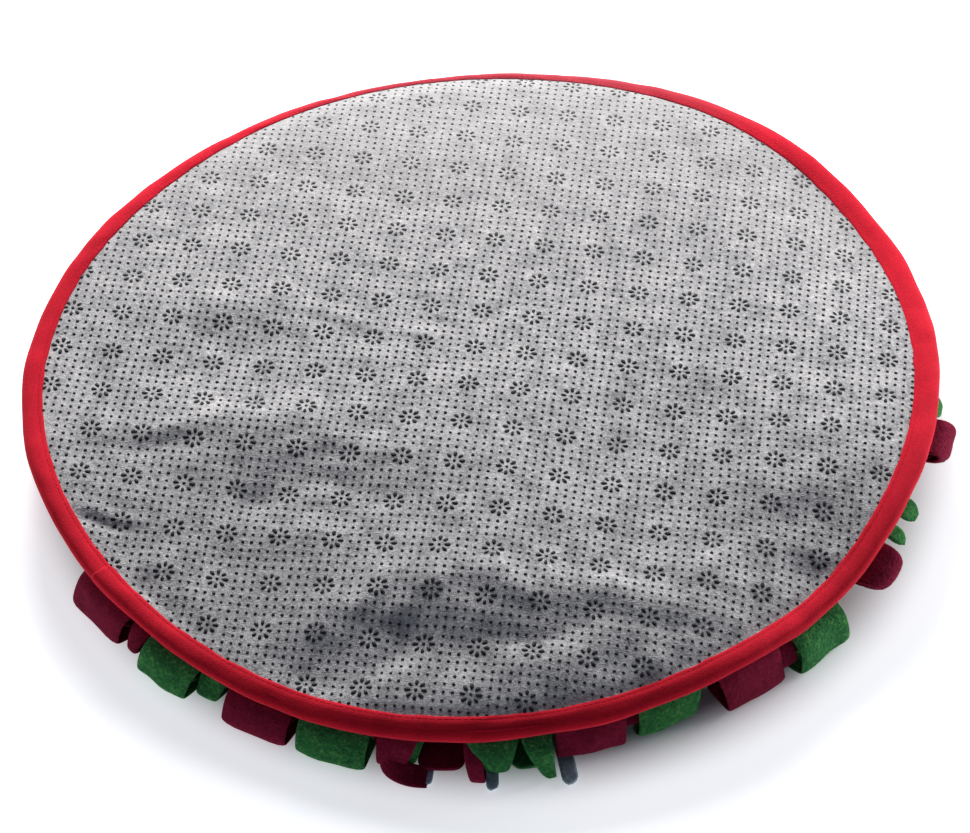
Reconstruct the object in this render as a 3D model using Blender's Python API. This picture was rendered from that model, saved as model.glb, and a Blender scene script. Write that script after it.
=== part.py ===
"""A round snuffle mat, lying on its fleece strips with its non-slip back up.

Metres, +Z up.  The floor is z = 0 and the whole mat's box is centred over the origin.  Bearings are in
degrees, anticlockwise from +X, and the front of the mat is at bearing 270.  Tables are in millimetres,
from the middle that the mat was cut about.
"""

from math import ceil, cos, degrees, exp, radians, sin

import bmesh
import bpy
from mathutils import Vector

MM = 0.001

# --- the mat -------------------------------------------------------------------------------------
SEAM_RADIUS = 215.0       # where the binding's upper edge is sewn to the back, mean
BINDING_WIDTH = 11.0      # from that seam to the mat's edge, mean
MEAN_RADIUS = SEAM_RADIUS + BINDING_WIDTH
CUT_MIDDLE = (-1.3, 3.5)  # where the middle that the mat was cut about lies

BACK_THICKNESS = 2.0
BACK_HEIGHT = 38.0        # of the back's upper side over the floor, mean
BACK_STEPS = 60           # round the mat, for the back and the binding alike
BACK_RINGS = (0.16, 0.31, 0.45, 0.58, 0.70, 0.80, 0.89, 0.95, 1.0)
CLOTH_GAP = 0.35          # left between two cloths that touch

# How far the outline leaves a circle: how many times the wave goes round, and where it crests.
OUTLINE_WAVES = [
    # name, times round, crest height, crest bearing
    ("set off centre", 1, 2.6, 117),
    ("oval", 2, 6.6, 35),
    ("three corners", 3, 1.7, 65),
    ("four corners", 4, 1.1, 9),
    ("five corners", 5, 0.8, 42),
]

# How far the binding's width leaves its mean, in the same way.
WIDTH_WAVES = [
    # name, times round, crest height, crest bearing
    ("wider on the right", 1, 1.5, 5),
    ("wider at both ends", 2, 1.4, 28),
]

# The broad swells and hollows that the back lies in over its strips.
BACK_BASE = -3.4
BACK_FOLDS = [
    # name, x, y, half length, half width, turn in degrees, height
    ("crown", -10, -10, 135, 135, 0, 6.5),
    ("front ridge", 5, -105, 60, 36, 90, 5.0),
    ("left front hollow", -140, -125, 60, 30, -15, -5.0),
    ("left front droop", -110, -205, 70, 38, -28, -11.0),
    ("front droop", 50, -238, 110, 40, 5, -10.0),
    ("right front dip", 160, -138, 36, 24, 50, -8.5),
    ("right swell", 172, -60, 50, 42, 90, 5.5),
    ("far right droop", 198, 110, 60, 29, -62, -9.5),
    ("far edge droop", 10, 235, 140, 42, 0, -5.0),
    ("left dip", -125, 0, 35, 18, 0, -2.0),
    ("left far swell", -150, 55, 60, 40, 0, 1.8),
    ("middle hollow", 70, -65, 36, 28, 0, -1.8),
]

# The far edge curls down, away from the front.
CURL_DEPTH = 8.0
CURL_BEARING = 98.0
CURL_HALF_SPAN = 56.0     # in degrees either way
CURL_REACH = 26.0         # how far in from the edge the curl begins

# Half of the folded binding's outside, and the slot that holds the back: distance in from the
# mat's edge as a share of the binding's width, and height over the middle of the back.
BINDING_SECTION = [
    # name, share of the width, height
    ("upper edge", 1.00, 2.2),
    ("upper slope", 0.74, 3.1),
    ("crown", 0.42, 3.3),
    ("shoulder", 0.14, 2.0),
    ("nose", 0.00, -0.4),
    ("chin", 0.10, -2.7),
    ("belly", 0.42, -4.0),
    ("lower slope", 0.76, -3.5),
    ("lower edge", 1.00, -2.4),
    ("slot, lower lip", 1.00, -BACK_THICKNESS / 2 - CLOTH_GAP),
    ("slot, lower end", 0.26, -BACK_THICKNESS / 2 - CLOTH_GAP),
    ("slot, upper end", 0.26, BACK_THICKNESS / 2 + CLOTH_GAP),
    ("slot, upper lip", 1.00, BACK_THICKNESS / 2 + CLOTH_GAP),
]
BACK_EDGE_INSET = 3.6     # the back ends this far inside the mat's edge, in the binding's fold

# --- the fleece strips ---------------------------------------------------------------------------
FLEECE = 2.2              # thickness of a strip and of its tape
TAPE_WIDTH = 6.0
TAPE_GAP = 1.0            # from the back's underside to a tape, so that it clears the folds
TAPE_STEP = 24.0          # longest straight run of a tape
ROOT_SHARE = 0.66         # a strip is gathered to this share of its width where it is sewn
FOOT_LENGTH = 15.0        # of a strip that lies on the floor
SHORT_FOOT = 3.0          # of a strip whose end hangs over it
TAPE_MIDDLE = BACK_THICKNESS / 2 + TAPE_GAP + FLEECE / 2    # below the middle of the back
LONGEST_MITRE = 2.0       # a strip's faces are widened at a sharp turn, at most by this factor

# An edge strip runs out under the back and the binding, and then bulges down to the floor.
RUN_DEPTH = 6.8           # of its middle below that of the back, clear of the binding
LAYER = 3.8               # an under strip runs this much lower still
RUN_START = 5.0           # out from its root
RUN_END = 8.0             # in from the mat's edge
EDGE_BULGE = [
    # name, in from the furthest point, share of the drop, height over lying flat
    ("shoulder", 5.0, 0.82, 0.0),
    ("side", 1.8, 0.50, 0.0),
    ("furthest point", 0.0, 0.0, 2.4),
    ("fold", 2.0, 0.0, 0.0),
]

# Or it is rolled up on itself there.
ROLLED_LINE = [
    # name, in from the furthest point, share of the drop
    ("shoulder", 4.2, 1.0),
    ("furthest point", -0.8, 0.62),
    ("fold", 0.8, 0.0),
    ("back", 11.0, 0.0),
]

# A strip that drops behind the edge rows and runs out under them.
TONGUE_LINE = [
    # name, out from its root, share of the drop, height over lying flat
    ("root", 0.0, 1.0, 0.0),
    ("turn", 3.5, 1.0, -3.0),
    ("slack", 4.5, 0.45, 0.0),
    ("knee", 6.5, 0.0, 3.0),
    ("foot", 10.0, 0.0, 0.0),
]

# A strip that nothing shows: down in a slack curve and level along the floor, to either side.
HIDDEN_LINE = [
    # name, out from its root, towards its own side, share of the drop, height over lying flat
    ("root", 0.0, 0.0, 1.0, 0.0),
    ("turn", 3.5, 0.0, 1.0, -3.0),
    ("belly", 5.5, 0.0, 0.62, 0.0),
    ("slack", 3.5, 0.0, 0.30, 0.0),
    ("knee", 3.0, 0.5, 0.0, 3.0),
    ("foot", 3.0, 3.5, 0.0, 0.0),
    ("end", 3.0, 3.5 + FOOT_LENGTH, 0.0, 0.0),
]

# Tapes near the edge: how far in from the mat's edge each one's outer side is, and its strips' width.
EDGE_TAPES = [
    # name, inset, strip width
    ("red_edge", 18.0, 34.0),
    ("green_edge", 30.0, 34.0),
    ("red_under", 42.0, 28.0),
    ("green_under", 54.0, 28.0),
    ("pale_under", 70.0, 24.0),
]

# Strips that show under the front half, one row each.  A folded strip bulges down from the edge to
# its lowest fold, a rolled one is rolled up on itself clear of the floor, and a flat one drops behind
# the edge rows and runs out under them.  Reach is how far a strip comes out past the mat's edge, foot
# is the height of its lowest part, and lean is how far its lower end is pulled anticlockwise.  Tip is
# its width at the lower end.
FRONT_STRIPS = [
    # tape, how it lies, bearing, width, tip, reach, foot, lean
    ("red_edge", "folded", 216.6, 36, 35, 5, 0, -1),
    ("red_edge", "folded", 241.3, 34, 34, 6, 0, 1),
    ("red_edge", "folded", 259.0, 20, 13, 3, 2, -2),
    ("red_edge", "folded", 282.9, 35, 33, 1, 3, 0),
    ("red_edge", "folded", 305.3, 36, 34, 3, 0, 2),
    ("red_edge", "rolled", 328.0, 24, 24, 9, 15, -2),
    ("red_edge", "rolled", 349.6, 24, 24, 9, 18, 0),
    ("green_edge", "folded", 228.7, 31, 29, 7, 0, -1),
    ("green_edge", "folded", 251.1, 35, 34, 7, 0, 1),
    ("green_edge", "folded", 270.5, 25, 5, 5, 3, 5),
    ("green_edge", "folded", 275.9, 14, 4, 9, 0, 7),
    ("green_edge", "folded", 294.0, 34, 30, -1, 4, -4),
    ("green_edge", "folded", 316.6, 33, 33, 7, 0, -1),
    ("green_edge", "rolled", 333.2, 8, 7, 3, 18, 0),
    ("green_edge", "rolled", 336.4, 11, 9, 4, 21, 0),
    ("green_edge", "rolled", 355.4, 14, 9, 3, 22, 0),
    ("red_under", "folded", 222.9, 12, 4, 3, 3, 0),
    ("red_under", "flat", 264.4, 24, 22, 3, 3, 0),
    ("red_under", "folded", 288.6, 12, 12, -6, 6, 0),
    ("red_under", "folded", 311.4, 12, 12, 0, 3, 0),
    ("green_under", "folded", 234.2, 15, 11, 0, 0, -1),
    ("green_under", "flat", 275.2, 20, 18, 3, 3, 0),
    ("pale_under", "flat", 263.0, 16, 5, 10, 0, 0),
    ("pale_under", "flat", 270.6, 16, 6, 12, 0, 0),
    ("pale_under", "flat", 279.7, 16, 8, 13, 0, 0),
]

# Where nothing shows, the rows go on at an even spacing, each other tape at the bearings between.
ROW_SPACING = 22.5
HIDDEN_STRIPS = [
    # tape, first bearing, count
    ("red_edge", 14.0, 9),
    ("green_edge", 25.25, 9),
    ("red_under", 329.0, 11),
    ("green_under", 295.25, 13),
    ("pale_under", 306.5, 14),
]

# Rows further in, which nothing shows from above: their strips turn outwards on the floor.
INNER_STRIP_WIDTH = 32.0
INNER_ROWS = [
    # name, colour, radius, count
    ("red_inner", "red", 106.0, 15),
    ("green_inner", "green", 79.0, 11),
    ("pale_inner", "pale", 53.0, 8),
    ("red_middle", "red", 26.0, 4),
]

COLOURS = {
    "felt": (0.36, 0.35, 0.37),
    "binding_red": (0.60, 0.012, 0.028),
    "red": (0.30, 0.007, 0.030),
    "green": (0.020, 0.19, 0.035),
    "pale": (0.42, 0.45, 0.50),
}


# --- the mat's outline and the way it lies -------------------------------------------------------
def waves_at(table, bearing):
    return sum(height * cos(radians(times * (bearing - crest))) for _, times, height, crest in table)


def seam_radius(bearing):
    """Distance from the middle to the binding's upper seam."""
    return SEAM_RADIUS + waves_at(OUTLINE_WAVES, bearing)


def binding_width(bearing):
    return BINDING_WIDTH + waves_at(WIDTH_WAVES, bearing)


def edge_radius(bearing):
    return seam_radius(bearing) + binding_width(bearing)


def around(radius, bearing):
    return radius * cos(radians(bearing)), radius * sin(radians(bearing))


def back_relief(x, y):
    """Height of the broad swells and hollows at a place."""
    height = BACK_BASE
    for _, fold_x, fold_y, half_length, half_width, turn, fold_height in BACK_FOLDS:
        along = (x - fold_x) * cos(radians(turn)) + (y - fold_y) * sin(radians(turn))
        across = (y - fold_y) * cos(radians(turn)) - (x - fold_x) * sin(radians(turn))
        height += fold_height * exp(-0.5 * ((along / half_length) ** 2 + (across / half_width) ** 2))
    return height


def middle_height(radius, bearing):
    """Height of the middle of the back's thickness, with the far edge's curl."""
    inside = max(0.0, radius - (edge_radius(bearing) - CURL_REACH)) / CURL_REACH
    turn = min(abs(bearing % 360 - CURL_BEARING) / CURL_HALF_SPAN, 1.0)
    curl = CURL_DEPTH * cos(radians(90 * turn)) * inside ** 2
    return BACK_HEIGHT - BACK_THICKNESS / 2 + back_relief(*around(radius, bearing)) - curl


def place(radius, bearing, height):
    """A point in metres, this far over the middle of the back."""
    x, y = around(radius, bearing)
    return Vector((x, y, middle_height(radius, bearing) + height)) * MM


# --- mesh helpers --------------------------------------------------------------------------------
def material(name):
    finish = bpy.data.materials.new(name)
    finish.use_nodes = True
    shader = finish.node_tree.nodes["Principled BSDF"]
    shader.inputs["Base Color"].default_value = (*COLOURS[name], 1.0)
    shader.inputs["Roughness"].default_value = 0.92
    shader.inputs["Metallic"].default_value = 0.0
    finish.diffuse_color = (*COLOURS[name], 1.0)
    return finish


def finish_object(name, bm, finish):
    bmesh.ops.recalc_face_normals(bm, faces=bm.faces)
    bmesh.ops.translate(bm, verts=bm.verts, vec=Vector((*CUT_MIDDLE, 0)) * MM)
    mesh = bpy.data.meshes.new(name)
    bm.to_mesh(mesh)
    bm.free()
    mesh.materials.append(finish)
    mesh.shade_smooth()
    mesh.set_sharp_from_angle(angle=radians(40))
    bpy.context.scene.collection.objects.link(bpy.data.objects.new(name, mesh))


def bridge(bm, first, second):
    """Faces between two closed loops of as many points."""
    for i, corner in enumerate(first):
        after = (i + 1) % len(first)
        bm.faces.new((corner, first[after], second[after], second[i]))


# --- the back and its binding --------------------------------------------------------------------
def build_back(finish):
    """One round panel: its upper side as rings about the middle, then its thickness."""
    bm = bmesh.new()
    bearings = [i * 360 / BACK_STEPS for i in range(BACK_STEPS)]
    centre = bm.verts.new(place(0, 0, BACK_THICKNESS / 2))
    rings = []
    for share in BACK_RINGS:
        radii = [share * (edge_radius(bearing) - BACK_EDGE_INSET) for bearing in bearings]
        rings.append([bm.verts.new(place(*spot, BACK_THICKNESS / 2)) for spot in zip(radii, bearings)])
    for i, corner in enumerate(rings[0]):
        bm.faces.new((centre, corner, rings[0][(i + 1) % BACK_STEPS]))
    for inner, outer in zip(rings, rings[1:]):
        bridge(bm, inner, outer)
    lower = bmesh.ops.extrude_face_region(bm, geom=bm.faces[:])["geom"]
    lower_points = [item for item in lower if isinstance(item, bmesh.types.BMVert)]
    bmesh.ops.translate(bm, verts=lower_points, vec=Vector((0, 0, -BACK_THICKNESS)) * MM)
    finish_object("back_sheet", bm, finish)


def build_binding(finish):
    """A tape folded round the edge: one section with a slot for the back, swept round the mat."""
    bm = bmesh.new()
    loops = []
    for i in range(BACK_STEPS):
        bearing = i * 360 / BACK_STEPS
        edge, width = edge_radius(bearing), binding_width(bearing)
        section = [place(edge - share * width, bearing, height) for _, share, height in BINDING_SECTION]
        loops.append([bm.verts.new(point) for point in section])
    for first, second in zip(loops, loops[1:] + loops[:1]):
        bridge(bm, first, second)
    finish_object("binding", bm, finish)


# --- strips --------------------------------------------------------------------------------------
def run_path(bearing, inset, run_end, layer):
    """A strip's root and its run out under the back, as (radius, height) pairs of its middle line.
    An under strip runs one layer lower."""
    edge, depth = edge_radius(bearing), RUN_DEPTH + layer
    places = [(edge - inset, TAPE_MIDDLE), (edge - inset + RUN_START, depth), (edge - run_end, depth)]
    return [(radius, middle_height(radius, bearing) - below) for radius, below in places]


def edge_path(bearing, inset, reach, foot, layer):
    edge, low = edge_radius(bearing), foot + FLEECE / 2
    drop = middle_height(edge, bearing) - RUN_DEPTH - layer - low
    path = run_path(bearing, inset, max(RUN_END - reach, RUN_END), layer)
    path += [(edge + reach - inwards, low + share * drop + rise) for _, inwards, share, rise in EDGE_BULGE]
    path.append((path[-1][0] - (SHORT_FOOT if foot else FOOT_LENGTH), low))
    return path


def rolled_path(bearing, inset, reach, foot, layer):
    furthest, low = edge_radius(bearing) + reach, foot + FLEECE / 2
    path = run_path(bearing, inset, RUN_END, layer)
    drop = path[-1][1] - low
    return path + [(furthest - inwards, low + share * drop) for _, inwards, share in ROLLED_LINE]


def drop_to_floor(root_radius, bearing):
    """From a strip's root to where its middle lies on the floor."""
    return middle_height(root_radius, bearing) - TAPE_MIDDLE - FLEECE / 2


def tongue_path(bearing, inset, reach, foot):
    edge, low = edge_radius(bearing), foot + FLEECE / 2
    drop = drop_to_floor(edge - inset, bearing) - foot
    path = [(edge - inset + out, low + share * drop + rise) for _, out, share, rise in TONGUE_LINE]
    return path + [(edge + reach, low)]


def hidden_path(root_radius, bearing, side):
    """Its foot turns outwards where side is 1 and inwards where it is -1."""
    drop = drop_to_floor(root_radius, bearing)
    return [
        (root_radius + out + side * towards, FLEECE / 2 + share * drop + rise)
        for _, out, towards, share, rise in HIDDEN_LINE
    ]


def lower_and_upper(path, i):
    """(radius, height) of a strip's two faces at one point of its middle line, with a mitred turn."""
    before = (Vector(path[i]) - Vector(path[i - 1])).normalized()
    after = (Vector(path[i + 1]) - Vector(path[i])).normalized() if i + 1 < len(path) else before
    along = (before + after).normalized()
    half = FLEECE / 2 * min(LONGEST_MITRE, 1 / along.dot(after))
    radius, height = path[i]
    return [(radius - face * half * along.y, height + face * half * along.x) for face in (-1, 1)]


def strip_sections(path_at, bearing, width, tip, lean):
    """Four corners at each point of a strip.  Its two sides each follow the path at their own
    bearing, so that the strip tilts with the mat's edge."""
    outward = Vector((*around(1, bearing), 0))
    sideways = Vector((*around(1, bearing + 90), 0))
    paths = [path_at(bearing + side * degrees(width / 2 / MEAN_RADIUS)) for side in (-1, 1)]
    sections = []
    for i in range(1, len(paths[0])):
        done = i / (len(paths[0]) - 1)
        half_width = (width + (tip - width) * done) / 2
        corners = []
        for side, path in zip((-1, 1), paths):
            for radius, height in lower_and_upper(path, i):
                spot = outward * (radius ** 2 - half_width ** 2) ** 0.5
                spot += sideways * (side * half_width + lean * done)
                corners.append(Vector((spot.x, spot.y, height)) * MM)
        sections.append([corners[0], corners[2], corners[3], corners[1]])
    return sections


def build_row(name, outer_side, strips, finish):
    """A tape with its strips.  outer_side gives the tape's outer radius at a bearing, and each
    strip is (bearing, root width, sections).  A strip grows out of the tape's own outer side."""
    bm = bmesh.new()
    roots = []
    for bearing, root_width, sections in sorted(strips, key=lambda strip: strip[0] % 360):
        half_turn = degrees(root_width / 2 / outer_side(bearing))
        roots.append((bearing % 360 - half_turn, bearing % 360 + half_turn, sections))
    stations = []
    for i, (start, end, sections) in enumerate(roots):
        next_start = roots[(i + 1) % len(roots)][0] + (360 if i + 1 == len(roots) else 0)
        stations.append((start, sections))
        run = radians(next_start - end) * outer_side(end)
        pieces = max(1, ceil(run / TAPE_STEP))
        stations.extend((end + (next_start - end) * k / pieces, None) for k in range(pieces))
    loops = []
    for bearing, _ in stations:
        outer = outer_side(bearing)
        top = -BACK_THICKNESS / 2 - TAPE_GAP
        corners = [(outer, top - FLEECE), (outer, top), (outer - TAPE_WIDTH, top), (outer - TAPE_WIDTH, top - FLEECE)]
        loops.append([bm.verts.new(place(radius, bearing, height)) for radius, height in corners])
    for i, first in enumerate(loops):
        second = loops[(i + 1) % len(loops)]
        for a, b in ((1, 2), (2, 3), (3, 0)):
            bm.faces.new((first[a], first[b], second[b], second[a]))
        ring = [first[0], second[0], second[1], first[1]]
        for corners in stations[i][1] or []:
            after = [bm.verts.new(corner) for corner in corners]
            bridge(bm, ring, after)
            ring = after
        bm.faces.new(ring)
    finish_object(name, bm, finish)


def front_strip(tape, inset, lies, bearing, width, tip, reach, foot, lean):
    layer = LAYER if tape.endswith("under") else 0.0

    def path_at(side):
        if lies == "flat":
            return tongue_path(side, inset, reach, foot)
        return (rolled_path if lies == "rolled" else edge_path)(side, inset, reach, foot, layer)

    return bearing, ROOT_SHARE * width, strip_sections(path_at, bearing, width, tip, lean)


def hidden_strip(outer_side, bearing, width, turn):
    sections = strip_sections(lambda side: hidden_path(outer_side(side), side, turn), bearing, width, width, 0)
    return bearing, ROOT_SHARE * width, sections


def build_edge_rows(finishes):
    for tape, inset, width in EDGE_TAPES:
        def outer_side(bearing, inset=inset):
            return edge_radius(bearing) - inset

        strips = [front_strip(tape, inset, *row[1:]) for row in FRONT_STRIPS if row[0] == tape]
        for row_tape, first, count in HIDDEN_STRIPS:
            bearings = [first + i * ROW_SPACING for i in range(count if row_tape == tape else 0)]
            strips.extend(hidden_strip(outer_side, bearing, width, -1) for bearing in bearings)
        build_row(f"{tape}_strips", outer_side, strips, finishes[tape.split("_")[0]])


def build_inner_rows(finishes):
    for name, colour, radius, count in INNER_ROWS:
        def outer_side(bearing, radius=radius):
            return radius

        bearings = [360 * (i + 0.5) / count for i in range(count)]
        strips = [hidden_strip(outer_side, bearing, INNER_STRIP_WIDTH, 1) for bearing in bearings]
        build_row(f"{name}_strips", outer_side, strips, finishes[colour])


def main():
    for old in list(bpy.data.objects):
        bpy.data.objects.remove(old)
    finishes = {name: material(name) for name in COLOURS}
    build_back(finishes["felt"])
    build_binding(finishes["binding_red"])
    build_edge_rows(finishes)
    build_inner_rows(finishes)


main()
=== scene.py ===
# %% [markdown]
# # A round snuffle mat, turned over on its strips
#
# A snuffle mat is a round sheet of felt with rows of fleece strips sewn to one side.  A dog noses
# food out of the strips.  Here the mat lies the other way up: the strips are under it, folded
# against the floor, and the felt's non-slip back shows.  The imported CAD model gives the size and
# the place of every part.  This script makes each part again as cloth, rubber and thread.

from functools import partial
from math import ceil, cos, degrees, pi, radians, sin

import bpy
import numpy as np
from mathutils import Matrix, Vector, noise


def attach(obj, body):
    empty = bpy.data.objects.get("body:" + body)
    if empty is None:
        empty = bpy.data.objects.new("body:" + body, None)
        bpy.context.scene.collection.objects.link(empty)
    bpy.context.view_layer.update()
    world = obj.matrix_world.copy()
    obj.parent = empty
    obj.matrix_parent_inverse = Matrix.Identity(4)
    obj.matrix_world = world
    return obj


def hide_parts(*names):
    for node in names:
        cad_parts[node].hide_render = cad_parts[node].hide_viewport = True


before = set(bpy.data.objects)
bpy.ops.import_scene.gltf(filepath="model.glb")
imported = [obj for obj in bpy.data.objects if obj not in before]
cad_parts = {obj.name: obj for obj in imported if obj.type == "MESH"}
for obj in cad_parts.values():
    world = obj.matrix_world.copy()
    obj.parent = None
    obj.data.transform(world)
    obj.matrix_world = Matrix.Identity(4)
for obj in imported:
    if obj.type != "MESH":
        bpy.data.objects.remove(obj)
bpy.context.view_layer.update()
print("CAD nodes:", ", ".join(sorted(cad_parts)))

# %% [markdown]
# ## Sizes
#
# The mat was cut about one middle, and its outline is a circle with a few slow waves.  The tables
# here, of the swells and of the rows are the CAD model's own, so that the cloth lies where its
# solids are.  Only three narrow green strips at the right were moved a little.  Lengths are in
# millimetres, and bearings in degrees anticlockwise from +X.

# %% The outline
MM = 0.001
CUT_MIDDLE = (-1.3, 3.5)
SEAM_RADIUS = 215.0
BINDING_WIDTH = 11.0
MEAN_RADIUS = SEAM_RADIUS + BINDING_WIDTH
FELT_THICKNESS = 2.0
FELT_HEIGHT = 38.0

OUTLINE_WAVES = [
    # name, times round, crest height, crest bearing
    ("set off centre", 1, 2.6, 117),
    ("oval", 2, 6.6, 35),
    ("three corners", 3, 1.7, 65),
    ("four corners", 4, 1.1, 9),
    ("five corners", 5, 0.8, 42),
]
WIDTH_WAVES = [
    # name, times round, crest height, crest bearing
    ("wider on the right", 1, 1.5, 5),
    ("wider at both ends", 2, 1.4, 28),
]


def waves_at(table, bearing):
    return sum(height * np.cos(np.radians(times * (bearing - crest))) for _, times, height, crest in table)


def binding_width(bearing):
    return BINDING_WIDTH + waves_at(WIDTH_WAVES, bearing)


def seam_radius(bearing):
    """Where the binding's inner edge lies on the felt."""
    return SEAM_RADIUS + waves_at(OUTLINE_WAVES, bearing)


def edge_radius(bearing):
    return seam_radius(bearing) + binding_width(bearing)


diameters = 2 * edge_radius(np.arange(360.0))
print("outer diameter, mm: %.0f to %.0f" % (diameters.min(), diameters.max()))

# %% [markdown]
# ## How the felt lies
#
# Felt of this kind is a stiff, thin sheet.  Over the folded strips it rises in a low dome, droops
# at the front and breaks into a few soft creases.  The first table holds the broad swells that the
# CAD model has too.  The other two hold what only the cloth shows: folds, where it steps down
# towards the viewer, and low mounds between them.  A cloth simulation would put creases in other
# places than this mat has them, so they are listed one by one.

# %% Swells, folds and mounds
FELT_BASE = -3.4          # where it would lie without its swells, over or under FELT_HEIGHT
SWELLS = [
    # name, x, y, half length, half width, turn in degrees, height
    ("crown", -10, -10, 135, 135, 0, 6.5),
    ("front ridge", 5, -105, 60, 36, 90, 5.0),
    ("left front hollow", -140, -125, 60, 30, -15, -5.0),
    ("left front droop", -110, -205, 70, 38, -28, -11.0),
    ("front droop", 50, -238, 110, 40, 5, -10.0),
    ("right front dip", 160, -138, 36, 24, 50, -8.5),
    ("right swell", 172, -60, 50, 42, 90, 5.5),
    ("far right droop", 198, 110, 60, 29, -62, -9.5),
    ("far edge droop", 10, 235, 140, 42, 0, -5.0),
    ("left dip", -125, 0, 35, 18, 0, -2.0),
    ("left far swell", -150, 55, 60, 40, 0, 1.8),
    ("middle hollow", 70, -65, 36, 28, 0, -1.8),
]
FOLDS = [
    # name, x, y, half length, half width, turn in degrees, height of its far side over its near side
    ("left dip", -132, 23, 22, 11.0, -2, 2.4),
    ("long fold's start", -92, 29, 15, 4.0, -14, 0.5),
    ("long fold", -52, 17, 26, 3.6, -16, 0.95),
    ("beside the long fold", -24, 26, 13, 3.4, -26, 0.5),
    ("before the long fold", -66, -4, 17, 5.0, -8, 0.6),
    ("upper fold", -28, 42, 20, 3.6, -8, 0.55),
    ("bent fold", 35, 15, 14, 4.6, -52, 0.8),
    ("left edge fold", -172, -52, 21, 5.4, 5, 1.7),
    ("left shade", -90, -68, 44, 18.0, -4, 5.2),
    ("left shade's far part", -72, -44, 20, 7.0, 10, 0.9),
    ("left shade's near part", -112, -82, 18, 6.0, -14, 0.9),
    ("crisp fold", -191, -97, 12, 2.4, -10, 2.5),
    ("left front dent", -156, -137, 14, 9.0, -48, 2.6),
    ("front trough's left end", -66, -169, 20, 12.0, 14, 4.4),
    ("front trough", -12, -158, 36, 15.0, 3, 5.2),
    ("front trough's right end", 56, -160, 28, 14.0, -4, 3.4),
    ("right of the trough", 100, -152, 32, 16.0, 14, 3.6),
    ("right dimple", 143, -87, 18, 10.0, 4, 2.3),
    ("right dimple's near part", 158, -122, 10, 6.0, -20, 1.7),
    ("far shade", 60, 70, 60, 16.0, 4, 0.7),
]
MOUNDS = [
    # name, x, y, half length, half width, turn in degrees, height
    ("left ridge", -140, -36, 46, 9.0, 4, 0.9),
    ("left swell", -178, -84, 20, 7.0, -6, 0.9),
    ("under the long fold", -72, -9, 40, 9.0, -14, 0.7),
    ("right front knob", 136, -141, 12, 8.0, 30, 1.2),
    ("front hump", -26, -204, 40, 10.0, 3, 1.0),
    ("right front shade", 70, -173, 40, 13.0, 17, 5.4),
]
CREASE_FADE = 5.0         # folds and mounds die out this far inside the binding's seam
FOLD_STRAYING = [
    # how far a fold strays from a straight line, over what pitch, seed
    (5.0, 30.0, 4.2),
    (1.25, 11.0, 8.6),
]
FOLD_CHANGE, CHANGE_PITCH, CHANGE_SEED = 0.8, 16.0, 1.7      # how much a fold's height changes on its way
CURL_DEPTH, CURL_BEARING, CURL_HALF_SPAN, CURL_REACH = 8.0, 98.0, 56.0, 26.0      # of the far edge, down


def seen_from(x, y, middle_x, middle_y, half_length, half_width, turn):
    """A place along and across a mound or fold, in its own half lengths and half widths."""
    turn = radians(turn)
    along = (x - middle_x) * cos(turn) + (y - middle_y) * sin(turn)
    across = (y - middle_y) * cos(turn) - (x - middle_x) * sin(turn)
    return along / half_length, across / half_width


def swell(table, x, y):
    """Sum of soft mounds and hollows at a place."""
    height = 0.0
    for _, *shape, mound_height in table:
        along, across = seen_from(x, y, *shape)
        height = height + mound_height * np.exp(-0.5 * (along ** 2 + across ** 2))
    return height


def slow_noise(x, y, pitch, seed):
    """Smooth noise, about -1 to 1, that changes over one pitch."""
    shape = np.shape(x)
    spots = zip(np.ravel(x) / pitch, np.ravel(y) / pitch)
    return np.array([noise.noise(Vector((across, along, seed))) for across, along in spots]).reshape(shape)


def fold(x, y):
    """Sum of soft steps in the cloth, each higher on its far side than on its near side."""
    x, y = np.asarray(x, dtype=float), np.asarray(y, dtype=float)
    y = y + sum(stray * slow_noise(x, y, pitch, seed) for stray, pitch, seed in FOLD_STRAYING)
    height = 0.0
    for _, *shape, step in FOLDS:
        along, across = seen_from(x, y, *shape)
        height = height + step / 2 * across * np.exp(0.5 - 0.5 * (along ** 2 + across ** 2))
    return height * (1 + FOLD_CHANGE * slow_noise(x, y, CHANGE_PITCH, CHANGE_SEED))


def smooth_step(value):
    value = np.clip(value, 0.0, 1.0)
    return value * value * (3.0 - 2.0 * value)


def around(radius, bearing):
    """x and y of places that are given by radius and bearing."""
    return radius * np.cos(np.radians(bearing)), radius * np.sin(np.radians(bearing))


def felt_middle(radius, bearing):
    """Height of the middle of the felt's thickness."""
    x, y = around(radius, bearing)
    inside = np.maximum(0.0, radius - (edge_radius(bearing) - CURL_REACH)) / CURL_REACH
    turn = np.minimum(np.abs(bearing % 360 - CURL_BEARING) / CURL_HALF_SPAN, 1.0)
    curl = CURL_DEPTH * np.cos(np.radians(90 * turn)) * inside ** 2
    creases = fold(x, y) + swell(MOUNDS, x, y)
    creases = creases * smooth_step((seam_radius(bearing) - radius) / CREASE_FADE)
    return FELT_HEIGHT - FELT_THICKNESS / 2 + FELT_BASE + swell(SWELLS, x, y) + creases - curl


def in_frame(x, y, height):
    """Points in metres, in the CAD model's frame, from millimetres about the cut's middle."""
    return np.stack([x + CUT_MIDDLE[0], y + CUT_MIDDLE[1], height + 0 * x], axis=-1) * MM


print("felt's middle stands %.1f mm over the floor" % felt_middle(np.array(0.0), np.array(0.0)))

# %% [markdown]
# ## Small tools
#
# A few helpers serve every piece.  Some turn rows of points into a mesh, and one finds the faces
# between rings of points.  Another wraps a node's output, so that shader maths is written as plain
# sums, and the last adds any other node in a single call.

# %% A mesh from points
def new_object(name, data):
    thing = bpy.data.objects.new(name, data)
    bpy.context.scene.collection.objects.link(thing)
    return thing


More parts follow.
